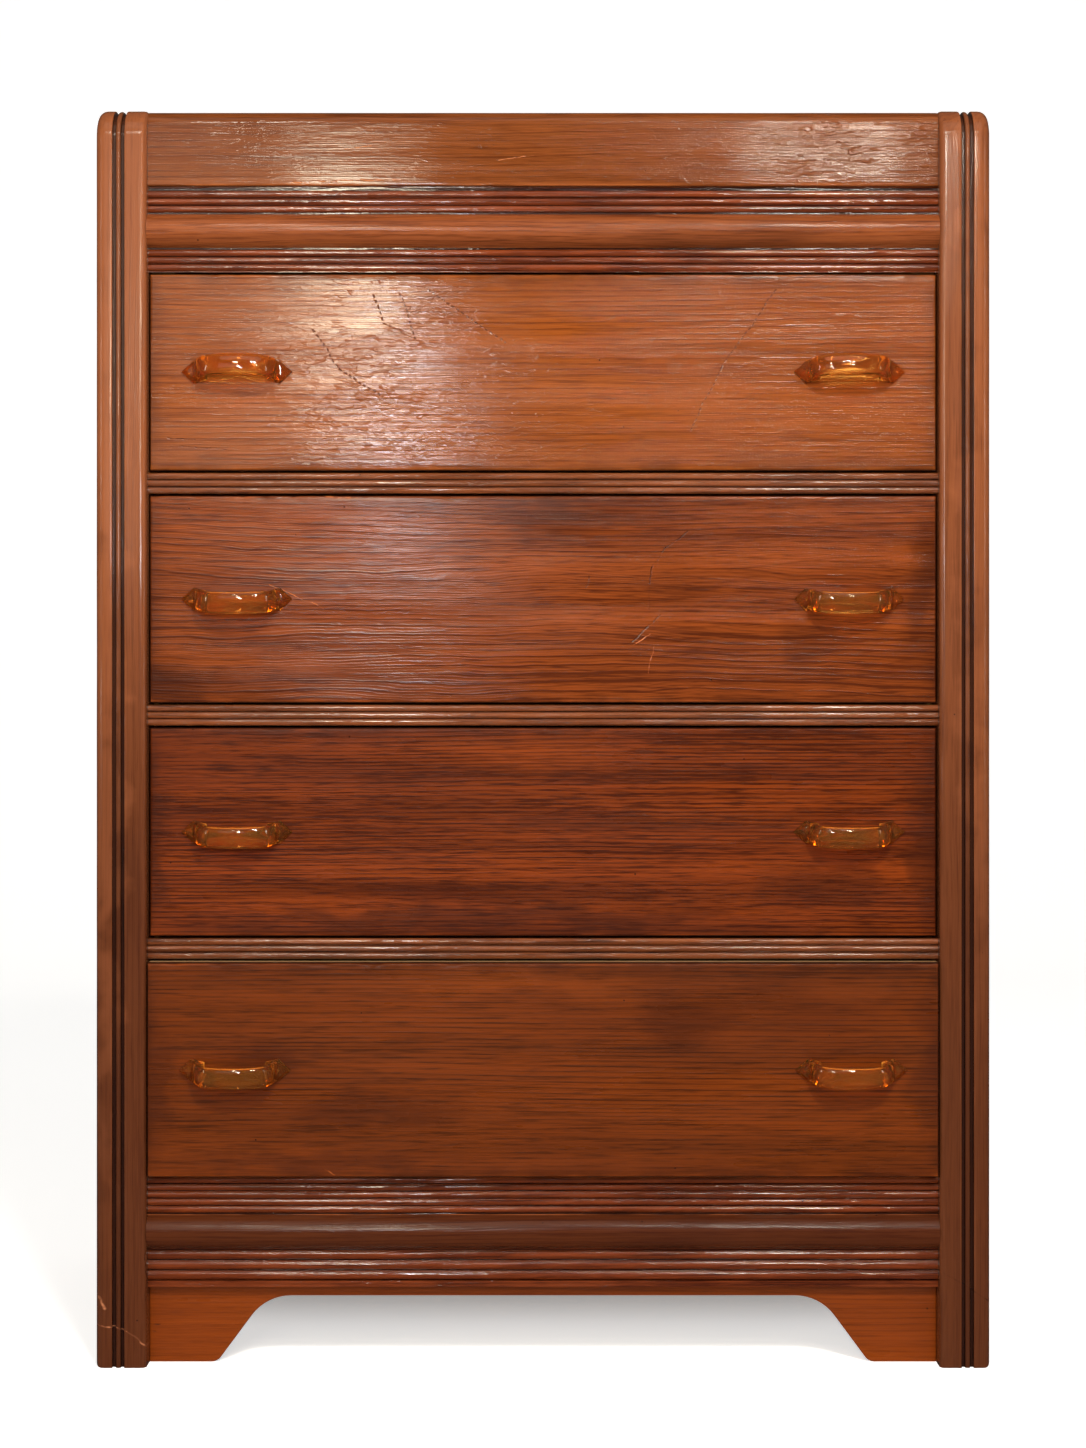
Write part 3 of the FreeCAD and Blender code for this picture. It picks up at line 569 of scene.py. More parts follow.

# %% [markdown]
# ### The boards
# The top drawer and the board over it are the most crazed, and the third drawer has the
# strongest figure. The reeds are glossy, with painted shade and some dirt in their valleys.
# Inside, the wood has no varnish to speak of.

# %% Looks of the boards
SIDE = dict(early=(148, 80, 42), late=(98, 50, 24), wave=0.003)
REEDED = dict(rings=240.0, gloss=0.12, depth=0.0005, specular=0.8, wear=0.25)
BOX_PLANED = dict(gloss=0.6, crazing=0.0, dark=(150, 112, 74))
BOX_SAWN = dict(gloss=0.65, crazing=0.0, clouds=0.5)
looks = {
    "drawer_1_fir": dict(
        early=(147, 75, 25), late=(101, 46, 13), rings=210.0, pith=(0.06, 0.2), shift=(0.3, 0.02, 0.0),
        contrast=1.1, banding=0.5, clouds=0.12, gloss=0.12, specular=0.45, crazing=1.25,
        crazed_at=((-105, 893), (210, 130)), swell=0.4, cracks=CRACKS_1, bare=True,
    ),
    "drawer_2_fir": dict(
        early=(140, 66, 23), late=(79, 31, 8), rings=250.0, wave=0.005, pith=(0.09, 0.42), shift=(1.7, 0.0, 0.0),
        contrast=1.15, gloss=0.15, specular=0.33, crazing=0.08, stains=STAINS_2, cracks=CRACKS_2,
        scratches=SCRATCHES_2, bare=True,
    ),
    "drawer_3_fir": dict(
        early=(130, 54, 11), late=(64, 21, 3), rings=300.0, pith=(0.10, 0.0), shift=(3.1, 0.0, 0.0),
        contrast=1.4, clouds=0.3, gloss=0.28, specular=0.15, stains=STAINS_3, bare=True,
    ),
    "drawer_4_fir": dict(
        early=(118, 51, 8), late=(64, 27, 5), rings=250.0, pith=(0.07, -0.4), shift=(4.4, 0.0, 0.0),
        contrast=0.95, clouds=0.3, specular=0.15, stains=STAINS_4, scratches=SCRATCHES_4, bare=True,
    ),
    "post_fir": dict(
        early=(132, 74, 42), late=(76, 36, 20), axis="Z", wave=0.0024, pith=(-0.10, 0.33), contrast=0.5,
        clouds=0.6, low_stain=0.6, stains=POST_SHEEN, wear=0.12, gloss=0.17, specular=0.42, crazing=0.1,
        depth=0.00012, cracks=CRACKS_POST, scratches=SCRATCHES_POST,
    ),
    "side_fir": dict(SIDE, axis="Z", pith=(0.3, 0.2)),
    "side_rail_fir": dict(SIDE, axis="Y", pith=(0.2, 0.1)),
    "side_ply": dict(
        early=(154, 84, 44), late=(102, 52, 26), axis="Z", rings=110.0, wave=0.012, pith=(0.34, 0.0), gloss=0.32,
    ),
    "top_fir": dict(
        early=(154, 84, 44), late=(100, 50, 24), rings=180.0, wave=0.005, pith=(0.5, 0.6), gloss=0.28,
    ),
    "top_rail_fir": dict(
        early=(127, 67, 29), late=(86, 40, 14), wave=0.0022, pith=(0.03, 0.9), shift=(0.9, 0.0, 0.0),
        contrast=0.9, clouds=0.3, gloss=0.11, specular=0.4, crazing=2.2, crazed_at=((300, 1108), (130, 80)),
        swell=0.4, scratches=SCRATCHES_TOP,
    ),
    "reed_fir": dict(REEDED, early=(116, 50, 18), late=(70, 25, 7), pith=(0.2, 0.9), low_stain=0.1),
    "divider_fir": dict(REEDED, early=(118, 60, 28), late=(66, 30, 13), pith=(0.1, 0.1)),
    "half_round_fir": dict(
        early=(148, 79, 39), late=(90, 41, 19), rings=200.0, wave=0.003, pith=(-0.16, 0.9),
        contrast=0.9, clouds=0.7, low_stain=0.76, gloss=0.18,
    ),
    "apron_fir": dict(
        early=(137, 60, 9), late=(98, 40, 6), rings=200.0, wave=0.003, pith=(-0.1, -0.4),
        contrast=0.7, clouds=0.2, specular=0.2, cracks=CRACKS_APRON,
    ),
    "drawer_box_wood": dict(
        BOX_PLANED, early=(206, 172, 128), late=(176, 134, 88), axis="Y", wave=0.004, depth=0.00012,
    ),
    "drawer_ply": dict(
        BOX_PLANED, early=(204, 168, 122), late=(176, 134, 88), rings=60.0, wave=0.014, depth=0.0001,
    ),
    "inner_wood": dict(
        BOX_SAWN, early=(190, 152, 106), late=(160, 116, 72), axis="Y", rings=200.0, wave=0.004,
        dark=(120, 86, 56), depth=0.00018,
    ),
    "back_ply": dict(
        BOX_SAWN, early=(178, 140, 96), late=(146, 104, 64), rings=60.0, wave=0.016,
        dark=(104, 74, 48), depth=0.0001,
    ),
}
materials = {name: fir(name, **look) for name, look in looks.items()}
print("boards", len(materials), "materials")

# %% [markdown]
# ### Amber resin and brass
# The pulls are cast in clear resin that has gone the colour of amber. It takes up blue and
# green along the way that light travels inside, so thick places are deep orange. Faces that
# are seen at a slant are painted brown: painted shade for the dark room that they would mirror.
# Faint swirls of the casting change its tint, and wear changes its polish. Its shadow lets some
# warm light through.

# %% Amber
amber = bpy.data.materials.new("amber")
g = clear_tree(amber)
place = g.place()
swirl = g.noise(place, 160.0, 3.0, 0.6, 1.5)
# Rims seen at a slant are painted brown: painted shade standing for the dark room they mirror.
facing = g.add("ShaderNodeLayerWeight", {"Blend": 0.5}).outputs["Facing"]
tint = g.mix(g.ramp(swirl, 0.35, 0.7), rgb(255, 214, 118), rgb(252, 196, 96))
resin = g.add("ShaderNodeBsdfPrincipled", {
    "Base Color": g.mix(g.ramp(facing, 0.5, 1.0), tint, rgb(112, 68, 26)),
    "Roughness": g.ramp(g.noise(place, 420.0, 3.0), 0.4, 0.8, 0.03, 0.14),
    "Transmission Weight": 0.975, "IOR": 1.55, "Specular IOR Level": 1.0,
})
inside = g.add("ShaderNodeVolumeAbsorption", {"Color": (0.92, 0.54, 0.08, 1.0), "Density": 105.0})
passing = g.add("ShaderNodeBsdfTransparent", {"Color": rgb(126, 106, 82)})
is_shadow = g.add("ShaderNodeLightPath").outputs["Is Shadow Ray"]
surface = g.add("ShaderNodeMixShader", {0: is_shadow, 1: resin.outputs[0], 2: passing.outputs[0]})
g.finish(surface, inside)
materials["amber"] = amber
print("amber", len(amber.node_tree.nodes), "nodes")

# %% Brass
brass = bpy.data.materials.new("brass")
g = clear_tree(brass)
tarnish = g.ramp(g.noise(g.place(), 700.0, 3.0), 0.4, 0.7)
g.finish(g.add("ShaderNodeBsdfPrincipled", {
    "Base Color": g.mix(tarnish, rgb(240, 196, 96), rgb(150, 104, 44)),
    "Roughness": g.ramp(tarnish, 0.0, 1.0, 0.2, 0.45), "Metallic": 1.0,
}))
materials["brass"] = brass
print("brass", len(brass.node_tree.nodes), "nodes")

# %% [markdown]
# ## Tools for shapes
# Most of the front is long mouldings: one profile carried along a line. The profile is drawn
# with a pen that knows straight runs, arcs and reeds, and the mesh is the profile at many
# stations along the line. The stations let the moulding wander by a tenth of a millimetre, as
# planed wood does, which breaks up the light along it.

# %% Pen
class Pen:
    """Draws a profile in millimetres as a chain of points."""

    def __init__(self, a, b):
        self.points = [(a, b)]

    def line(self, a, b):
        """Straight run to a point."""
        self.points.append((a, b))
        return self

    def arc(self, centre, end, steps=6):
        """Arc about a centre by the shorter way."""
        start = self.points[-1]
        first = math.atan2(start[1] - centre[1], start[0] - centre[0])
        last = math.atan2(end[1] - centre[1], end[0] - centre[0])
        turn = (last - first + math.pi) % (2 * math.pi) - math.pi
        radius = math.dist(start, centre)
        for step in range(1, steps + 1):
            angle = first + turn * step / steps
            self.points.append((centre[0] + radius * math.cos(angle), centre[1] + radius * math.sin(angle)))
        return self

    def reeds(self, count, pitch, rise, steps=10):
        """Row of round reeds that stand out towards the smaller first coordinate."""
        radius = (pitch * pitch / 4 + rise * rise) / (2 * rise)
        for _ in range(count):
            a, b = self.points[-1]
            self.arc((a - rise + radius, b + pitch / 2), (a, b + pitch), steps)
        return self

    def loop(self, step=3.0):
        """The closed profile, its long runs divided."""
        points = np.array(self.points)
        closed = np.vstack([points, points[:1]])
        parts = []
        for start, end in zip(closed[:-1], closed[1:]):
            span = np.linalg.norm(end - start)
            if span > 1e-6:
                pieces = max(1, int(np.ceil(span / step)))
                parts.append(start + (end - start) * (np.arange(pieces) / pieces)[:, None])
        return np.vstack(parts)


def relief_of(loop, reach=2.6):
    """How far each point of a closed profile stands out of its surroundings, in millimetres.

    The profile is smoothed with a bell curve along its length. The relief is the way from the
    smoothed profile to the true one, measured along the outward normal.
    """
    closed = np.vstack([loop, loop[:1]])
    steps = np.linalg.norm(np.diff(closed, axis=0), axis=1)
    places = np.concatenate([[0.0], np.cumsum(steps)])
    total = places[-1]
    fine_places = np.arange(0.0, total, 0.35)
    fine = np.stack([np.interp(fine_places, places, closed[:, k]) for k in range(2)], axis=1)
    gap = np.abs(places[:-1, None] - fine_places[None, :])
    gap = np.minimum(gap, total - gap)
    weight = np.exp(-0.5 * (gap / reach) ** 2)
    smooth = weight @ fine / weight.sum(axis=1, keepdims=True)
    tangent = np.roll(loop, -1, axis=0) - np.roll(loop, 1, axis=0)
    tangent /= np.linalg.norm(tangent, axis=1, keepdims=True) + 1e-12
    normal = np.stack([tangent[:, 1], -tangent[:, 0]], axis=1)
    area = np.sum(loop[:, 0] * np.roll(loop[:, 1], -1) - np.roll(loop[:, 0], -1) * loop[:, 1])
    return np.sum((loop - smooth) * normal, axis=1) * np.sign(area)


# %% [markdown]
# A grid of points becomes a closed mesh: quads between neighbouring stations, and one flat cap
# at each end. The faces are turned outwards by the sign of the volume they enclose.

# %% Mesh from a grid
def finish_piece(name, mesh, finish, body, replaced=None, crease=32.0):
    """Turns a mesh into a finished piece on its body, in place of the CAD piece it shows."""
    mesh.name = name
    mesh.materials.clear()
    mesh.materials.append(materials[finish])
    mesh.shade_smooth()
    mesh.set_sharp_from_angle(angle=math.radians(crease))
    piece = new_object(name, mesh)
    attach(piece, body)
    if replaced:
        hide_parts(replaced)
    return piece


def grid_of(x, y, z):
    """A grid of points from its coordinates, each a whole grid, a row, a column or one number."""
    return np.stack(np.broadcast_arrays(x, y, z), axis=-1)


def grid_mesh(name, grid, merge=0.0, **values):
    """Closed mesh over a grid (stations, points around, 3) in millimetres, capped at both ends."""
    count, around, _ = grid.shape
    first = np.arange(count - 1)[:, None] * around
    here = np.arange(around)[None, :]
    there = (here + 1) % around
    quads = np.stack([first + here, first + there, first + around + there, first + around + here], axis=-1)
    faces = quads.reshape(-1, 4).tolist()
    faces.append(list(range(around))[::-1])
    faces.append([(count - 1) * around + k for k in range(around)])
    mesh = bpy.data.meshes.new(name)
    mesh.from_pydata((grid * MM).reshape(-1, 3).tolist(), [], faces)
    for label, value in values.items():
        layer = mesh.attributes.new(label, "FLOAT", "POINT")
        layer.data.foreach_set("value", np.ascontiguousarray(value, dtype=np.float32).ravel())
    shell = bmesh.new()
    shell.from_mesh(mesh)
    if merge:
        bmesh.ops.remove_doubles(shell, verts=shell.verts, dist=merge * MM)
        bmesh.ops.dissolve_degenerate(shell, dist=merge * MM, edges=shell.edges)
    if shell.calc_volume(signed=True) < 0:
        bmesh.ops.reverse_faces(shell, faces=shell.faces)
    shell.to_mesh(mesh)
    shell.free()
    return mesh


# %% Wander and chips
def ripple(places, seed, length, count=7):
    """Smooth wander along a line, about -1 to 1: a sum of sine waves with seeded phases."""
    draw = np.random.default_rng(seed)
    total = np.zeros_like(np.asarray(places, dtype=float))
    for _ in range(count):
        wave = length * draw.uniform(0.35, 1.6)
        total += np.sin(2 * math.pi * (places / wave + draw.random())) / math.sqrt(count / 2)
    return total


def chips(places, seed, spacing, span, depth):
    """Chips along an edge: bell-shaped bites at seeded places, in millimetres."""
    draw = np.random.default_rng(seed)
    low, high = float(np.min(places)), float(np.max(places))
    bites = np.zeros_like(places)
    for _ in range(int((high - low) / spacing)):
        middle = draw.uniform(low, high)
        width = span * draw.uniform(0.4, 1.5)
        bite = depth * draw.uniform(0.3, 1.0) ** 2
        bites = np.maximum(bites, bite * np.exp(-(((places - middle) / width) ** 4)))
    return bites


def stations(low, high, step, ends=()):
    """Places along a line, closer together near its ends."""
    inner = np.linspace(low, high, int((high - low) / step) + 1)
    near = [low + e for e in ends] + [high - e for e in ends]
    return np.unique(np.round(np.concatenate([inner, near]), 4))


# %% [markdown]
# ## The mouldings over and under the drawers
# The board under the top, the two reeded friezes, the two half rounds and the three reeded
# rails between the drawers. All were run on a spindle moulder and cut to the same length.

# %% Sizes of the mouldings
REED, REED_RISE = 6.7, 2.2
COARSE_REED, COARSE_RISE = 9.4, 2.8
ROUND_HEIGHT, ROUND_RISE = 31.0, 13.2
RAIL_HEIGHT, RAIL_DEPTH = 19.0, 45.0
LOWER_FOOT, LOWER_DEPTH = 70.8, 9.0
FASCIA_FOOT, TOP_ROUND, FOOT_ROUND = 1076.0, 12.7, 1.5
LIP, LIP_BACK = 4.2, 4.5  # the plain lip over the upper reeds, and how far back it lies
RECESS = 0.9  # the plain strip under the upper reeds
FILLET = 5.6  # the flat strip under the coarse reeds
SEAT_GAP = 1.2
DEEP = 1.8  # how much stronger the relief of reeds counts, so their valleys take more painted shade and dirt
SEAT = FACE + REED_RISE
BACK = FACE + 22.0

upper_reeds = FASCIA_FOOT - LIP - 3 * REED
upper_round = upper_reeds - SEAT_GAP - ROUND_HEIGHT
under_reeds = upper_round - SEAT_GAP - 3 * REED
upper_foot = under_reeds - RECESS
coarse_reeds = LOWER_FOOT + FILLET
lower_seat = coarse_reeds + 3 * COARSE_REED
lower_round = lower_seat + SEAT_GAP
lower_reeds = lower_round + ROUND_HEIGHT + SEAT_GAP
xs = stations(-HALF_OPENING - INTO_POST, HALF_OPENING + INTO_POST, 12.0)
print("upper frieze from", round(upper_foot, 1), "half rounds at", round(upper_round, 1), round(lower_round, 1))


# %% Mouldings
def moulding(name, profile, finish, replaced, seed, shade_recesses=True, depth=1.0):
    """A profile in (y, z) carried along X, wandering a little, with painted shade in what lies deep."""
    loop = profile.loop()
    relief = relief_of(loop) * depth
    if shade_recesses:
        # What lies more than 2.6 mm behind the face is darkened: painted shade in the recesses.
        relief = relief - 1.4 * np.clip((loop[:, 0] - FACE - 2.6) / 1.2, 0.0, 1.0)
    wander = 0.06 * (1 + ripple(xs, seed, 160.0))[:, None]
    grid = grid_of(xs[:, None], loop[:, 0] + wander, loop[:, 1])
    mesh = grid_mesh(name, grid, relief=np.broadcast_to(relief, grid.shape[:2]))
    return finish_piece(name, mesh, finish, "case", replaced)


fascia = Pen(BACK, FASCIA_FOOT).line(BACK, TOP_SURFACE).line(FACE + TOP_ROUND, TOP_SURFACE)
fascia.arc((FACE + TOP_ROUND, TOP_SURFACE - TOP_ROUND), (FACE, TOP_SURFACE - TOP_ROUND), 10)
fascia.line(FACE, FASCIA_FOOT + FOOT_ROUND)
fascia.arc((FACE + FOOT_ROUND, FASCIA_FOOT + FOOT_ROUND), (FACE + FOOT_ROUND, FASCIA_FOOT), 4)
moulding("fascia_board", fascia, "top_rail_fir", "top_front_rail", 11, shade_recesses=False)

upper = Pen(BACK, upper_foot).line(SEAT, upper_foot).line(SEAT, under_reeds).reeds(3, REED, REED_RISE)
upper.line(SEAT, upper_reeds).reeds(3, REED, REED_RISE).line(FACE + LIP_BACK, FASCIA_FOOT - LIP)
upper.line(FACE + LIP_BACK, FASCIA_FOOT).line(BACK, FASCIA_FOOT)
moulding("upper_frieze", upper, "reed_fir", "upper_frieze_board", 12, depth=DEEP)

lower = Pen(FACE + LOWER_DEPTH, LOWER_FOOT).line(FACE, LOWER_FOOT).line(FACE, coarse_reeds)
lower.line(FACE + COARSE_RISE, coarse_reeds).reeds(3, COARSE_REED, COARSE_RISE).line(SEAT, lower_seat)
lower.line(SEAT, lower_reeds).reeds(5, REED, REED_RISE).line(FACE + LOWER_DEPTH, lower_reeds + 5 * REED)
moulding("lower_frieze", lower, "reed_fir", "lower_frieze_board", 13, depth=DEEP)

half = ROUND_HEIGHT / 2
radius = (half ** 2 + ROUND_RISE ** 2) / (2 * ROUND_RISE)
for label, foot, seed in (("upper", upper_round, 1033), ("lower", lower_round, 119)):
    profile = Pen(SEAT, foot).arc((SEAT - ROUND_RISE + radius, foot + half), (SEAT, foot + ROUND_HEIGHT), 22)
    moulding(f"{label}_half_round_bar", profile, "half_round_fir", f"{label}_half_round", seed)

for number in (1, 2, 3):
    low, high = limits(f"divider_rail_{number}")
    profile = Pen(FACE + RAIL_DEPTH, low[2]).line(SEAT, low[2]).reeds(3, RAIL_HEIGHT / 3, REED_RISE)
    profile.line(FACE + RAIL_DEPTH, high[2])
    moulding(f"divider_{number}", profile, "divider_fir", f"divider_rail_{number}", 20 + number, depth=DEEP)
print("mouldings done")

# %% [markdown]
# ## The front posts
# Each post carries two strips and a bead between two grooves. At the top the whole profile
# rolls over a quarter circle and runs back along the top. The grid's long way follows the face,
# the roll and the top, and its short way is the profile: how far from the inner side, and how
# far behind the face.

# %% Profile of a post
ROLL = 28.0  # radius of the rounded top
FOOT_CORNER = 4.0  # radius of the outer corner at the floor
INNER_ROUND, OUTER_ROUND, ARRIS = 4.75, 8.5, 0.9
STRIP = 19.8  # width of the inner strip
GROOVE, GROOVE_DEPTH = 2.8, 4.0
BEAD, BEAD_CREST = 2.6, 0.4  # radius of the bead, and how far its crest lies back

bead_start = STRIP + GROOVE
bead_middle = bead_start + BEAD
bead_end = bead_middle + BEAD
outer_strip = bead_end + GROOVE
shoulder = BEAD_CREST + BEAD
post_pen = Pen(0.0, INNER_ROUND).arc((INNER_ROUND, INNER_ROUND), (INNER_ROUND, 0.0), 6)
post_pen.line(STRIP - ARRIS, 0.0).arc((STRIP - ARRIS, ARRIS), (STRIP, ARRIS), 4)
post_pen.line(STRIP, GROOVE_DEPTH).line(bead_start, GROOVE_DEPTH).line(bead_start, shoulder)
post_pen.arc((bead_middle, shoulder), (bead_middle, BEAD_CREST), 6)
post_pen.arc((bead_middle, shoulder), (bead_end, shoulder), 6)
post_pen.line(bead_end, GROOVE_DEPTH).line(outer_strip, GROOVE_DEPTH).line(outer_strip, ARRIS)
post_pen.arc((outer_strip + ARRIS, ARRIS), (outer_strip + ARRIS, 0.0), 4)
post_pen.line(POST_WIDTH - OUTER_ROUND, 0.0)
post_pen.arc((POST_WIDTH - OUTER_ROUND, OUTER_ROUND), (POST_WIDTH, OUTER_ROUND), 8)
skin = post_pen.loop(2.0)
skin = skin[: int(np.argmax(skin[:, 0] > POST_WIDTH - 0.001)) + 1]
print("post profile", len(skin), "points")


# %% Posts
def post_grid(side, seed):
    """Points of one post: the profile up the face, over the roll and back along the top."""
    u, d = skin.T
    reach = ROLL - d
    rows = []
    for height in stations(0.0, POST_TOP - ROLL, 7.0, (0.6, 1.5, 2.6, 4.0)):
        rows.append(grid_of(u, POST_FRONT + d, height))
    for turn in np.linspace(0.0, math.pi / 2, 15)[1:]:
        y = POST_FRONT + ROLL - reach * math.cos(turn)
        rows.append(grid_of(u, y, POST_TOP - ROLL + reach * math.sin(turn)))
    for run in np.linspace(POST_FRONT + ROLL, POST_BACK, 5)[1:]:
        rows.append(grid_of(u, run, POST_TOP - d))
    grid = np.array(rows)
    back = grid[:, [-1, 0]].copy()
    back[..., 1] = POST_BACK
    grid = np.concatenate([grid, back], axis=1)
    wander = 0.1 * (1 + ripple(grid[:, 0, 2], seed, 210.0))
    grid[..., 1] += np.where(grid[..., 1] < POST_BACK - 1.0, wander[:, None], 0.0)
    drop = np.clip(FOOT_CORNER - grid[..., 2], 0.0, FOOT_CORNER)
    inset = FOOT_CORNER - np.sqrt(FOOT_CORNER ** 2 - drop ** 2)
    grid[..., 0] = side * (HALF_OPENING + np.minimum(grid[..., 0], POST_WIDTH - inset))
    return grid


def post_relief():
    """Relief of the profile: the grooves and the gap beside the boards are darkened most, as painted shade with some
    dirt.
    """
    outline = np.vstack([skin, [[POST_WIDTH, POST_BACK - POST_FRONT], [0.0, POST_BACK - POST_FRONT]]])
    across, depth = outline.T
    relief = relief_of(outline)
    in_groove = (across > STRIP - 0.8) & (across < outer_strip + 0.4)
    # The grooves are darkened, the more the deeper: painted shade with some dirt.
    relief = np.where(in_groove, np.minimum(relief, -0.42), relief)
    relief = relief - 0.8 * in_groove * np.clip((depth - ARRIS) / 2.0, 0.0, 1.0)
    # The post's inner side, deep in the gap beside the boards, is darkened: painted shade.
    relief = relief - 1.2 * ((across < 0.5) & (depth > 10.0))
    relief[-2] = 0.0
    return relief


for label, side in (("left", -1), ("right", 1)):
    grid = post_grid(side, 31 + side)
    mesh = grid_mesh(f"{label}_post", grid, merge=0.01, relief=np.broadcast_to(post_relief(), grid.shape[:2]))
    finish_piece(f"{label}_post", mesh, "post_fir", "case", f"{label}_front_post")
    print(label, "post", len(mesh.polygons), "faces")

# %% [markdown]
# ## The drawer fronts
# Four plain boards with eased edges. They have moved a little in eighty years: each is a
# fraction of a millimetre hollow or round, and its arrises are chipped. The bottom drawer
# stands open by the thickness of a finger, and its upper edge is worn the most. The edges are
# bare wood behind the varnish, and soil has gathered along them. Their sides in the gaps are
# darkened as painted shade.

# %% Drawer fronts
EASE = 2.5


def drawer_face(number):
    """Where the face of a drawer's front lies, with the drawer as it stands."""
    return FACE - AJAR[number]


def front_loop(number):
    """The edge profile of a drawer front in (y, z)."""
    foot, top, face = drawer_foot[number], drawer_top[number], drawer_face(number)
    pen = Pen(face + FRONT_THICKNESS, foot).line(face + EASE, foot)
    pen.arc((face + EASE, foot + EASE), (face, foot + EASE), 5).line(face, top - EASE)
    pen.arc((face + EASE, top - EASE), (face + EASE, top), 5).line(face + FRONT_THICKNESS, top)
    return pen.loop(4.0)


def drawer_front(number):
    """Board with eased edges: the edge profile along X, turned down again at both ends."""
    foot, top, face = drawer_foot[number], drawer_top[number], drawer_face(number)
    loop = front_loop(number)
    xs = stations(-HALF_FRONT, HALF_FRONT, 5.0, (0.05, 0.3, 0.8, 1.5, 2.5, 4.0))
    near = np.minimum(xs + HALF_FRONT, HALF_FRONT - xs)
    drop = np.where(near < EASE, EASE - np.sqrt(np.maximum(EASE ** 2 - (EASE - near) ** 2, 0.0)), 0.0)
    near = near[:, None]
    grid = grid_of(xs[:, None], loop[:, 0], loop[:, 1])

    depth = loop[None, :, 0] - face
    front = np.clip(1.0 - depth / EASE, 0.0, 1.0)
    height = (grid[..., 2] - foot) / (top - foot)
    bow = ripple(grid[..., 0] + 90.0 * height, 40 + number, 420.0, 4)
    grid[..., 1] += (0.08 + 0.12 * np.maximum(0.0, 1 + bow)) * front
    grid[..., 1] = np.maximum(grid[..., 1], face + drop[:, None])
    top_bite = chips(xs, 50 + number, 28.0, 5.0, 1.4 if number == 4 else 0.8)[:, None]
    foot_bite = chips(xs, 60 + number, 60.0, 5.0, 0.7)[:, None]
    at_top = np.clip(1.0 - (top - grid[..., 2]) / 3.0, 0.0, 1.0) * front
    at_foot = np.clip(1.0 - (grid[..., 2] - foot) / 3.0, 0.0, 1.0) * front
    grid[..., 1] += top_bite * at_top + foot_bite * at_foot
    grid[..., 2] += foot_bite * at_foot - top_bite * at_top

    relief = relief_of(loop)[None, :] + 1.2 * np.exp(-near / 1.2) * front
    # The front's edges behind the face and its ends beside the posts are darkened: painted shade in the gaps.
    relief = relief - 2.0 * np.clip((depth - 0.3) / 0.9, 0.0, 1.0) - 2.4 * np.clip(1.3 - near, 0.0, 1.0)
    bare = np.broadcast_to(np.clip((depth - 9.0) / 2.0, 0.0, 1.0), grid.shape[:2])
    edge = np.minimum(near, np.minimum(grid[..., 2] - foot, top - grid[..., 2]))
    soil = 0.75 * np.exp(-np.maximum(edge, 0.0) / 9.0)
    mesh = grid_mesh(f"front_{number}", grid, relief=relief, bare=bare, soil=soil)
    body = f"drawer_{number}"
    return finish_piece(f"front_{number}", mesh, f"{body}_fir", body, f"{body}_front")


for number in AJAR:
    piece = drawer_front(number)
    print(piece.name, len(piece.data.polygons), "faces")

# %% [markdown]
# ## The plain boards
# The sides, the top, the apron and the drawer boxes are flat boards, so the CAD shapes are right
# as they are. A copy of each has its doubled points merged and its sharp edges eased by half a
# millimetre or so, as sandpaper leaves them.

# %% Eased copies of CAD pieces
def soften(piece, ease):
    """Eases the sharp edges of a piece."""
    bevel = piece.modifiers.new("ease", "BEVEL")
    bevel.width = ease * MM
    bevel.segments = 2
    return bevel


def eased(node, finish, body="case", ease=0.6):
    """A copy of a CAD piece with its points merged and its edges eased."""
    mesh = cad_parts[node].data.copy()
    shell = bmesh.new()
    shell.from_mesh(mesh)
    bmesh.ops.remove_doubles(shell, verts=shell.verts, dist=0.01 * MM)
    bmesh.ops.dissolve_limit(shell, angle_limit=math.radians(1.0), verts=shell.verts, edges=shell.edges)
    shell.to_mesh(mesh)
    shell.free()
    if "custom_normal" in mesh.attributes:
        mesh.attributes.remove(mesh.attributes["custom_normal"])
    piece = finish_piece(f"{node}_board", mesh, finish, body, node)
    bevel = soften(piece, ease)
    bevel.limit_method = "ANGLE"
    bevel.angle_limit = math.radians(40)


for label in ("left", "right"):
    eased(f"{label}_rear_post", "side_fir")
    eased(f"{label}_side_top_rail", "side_rail_fir")
    eased(f"{label}_side_bottom_rail", "side_rail_fir")
    eased(f"{label}_side_panel", "side_ply", ease=0.3)
eased("top_panel", "top_fir", ease=1.0)
eased("apron", "apron_fir", ease=0.8)
eased("back_panel", "back_ply", ease=0.3)
for body in (f"drawer_{number}" for number in AJAR):
    for part in ("left_side", "right_side", "back"):
        eased(f"{body}_{part}", "drawer_box_wood", body, 0.8)
    eased(f"{body}_bottom", "drawer_ply", body, 0.2)
for node in ("rear_top_rail", "rear_bottom_rail", "corner_blocks", "drawer_runners", "drawer_guides",
             "drawer_kickers", "drawer_stops"):
    eased(node, "inner_wood", ease=0.5)
print("eased boards done")

# %% [markdown]
# ## The pulls
# A flattened bow rises from two arrowhead feet and leans down a little. The bow is one lens-like
# section carried along two corner arcs and a gentle crown. It is cast in one piece with the
# feet, so the three shapes are joined into one closed surface before it is placed eight times.

# %% Shape of a pull
LEAN = math.radians(11.5)
CROWN = math.radians(12.0)
PULL_REACH = 28.0  # how far a pull stands out from the drawer
FURTHEST = 5.0  # the height on the bow's section that stands out furthest once it leans
HALF_BOW, BOW_CORNER = 36.5, 22.0  # half the length of the bow, and the radius of its corners
BOW_HALF_HEIGHT = 10.0
BOW_CREST, BOW_INSIDE = 4.2, -0.7  # the section's crest and edges, from its middle line
HALF_SCREWS = 38.1  # from the middle of a pull to each of its screws


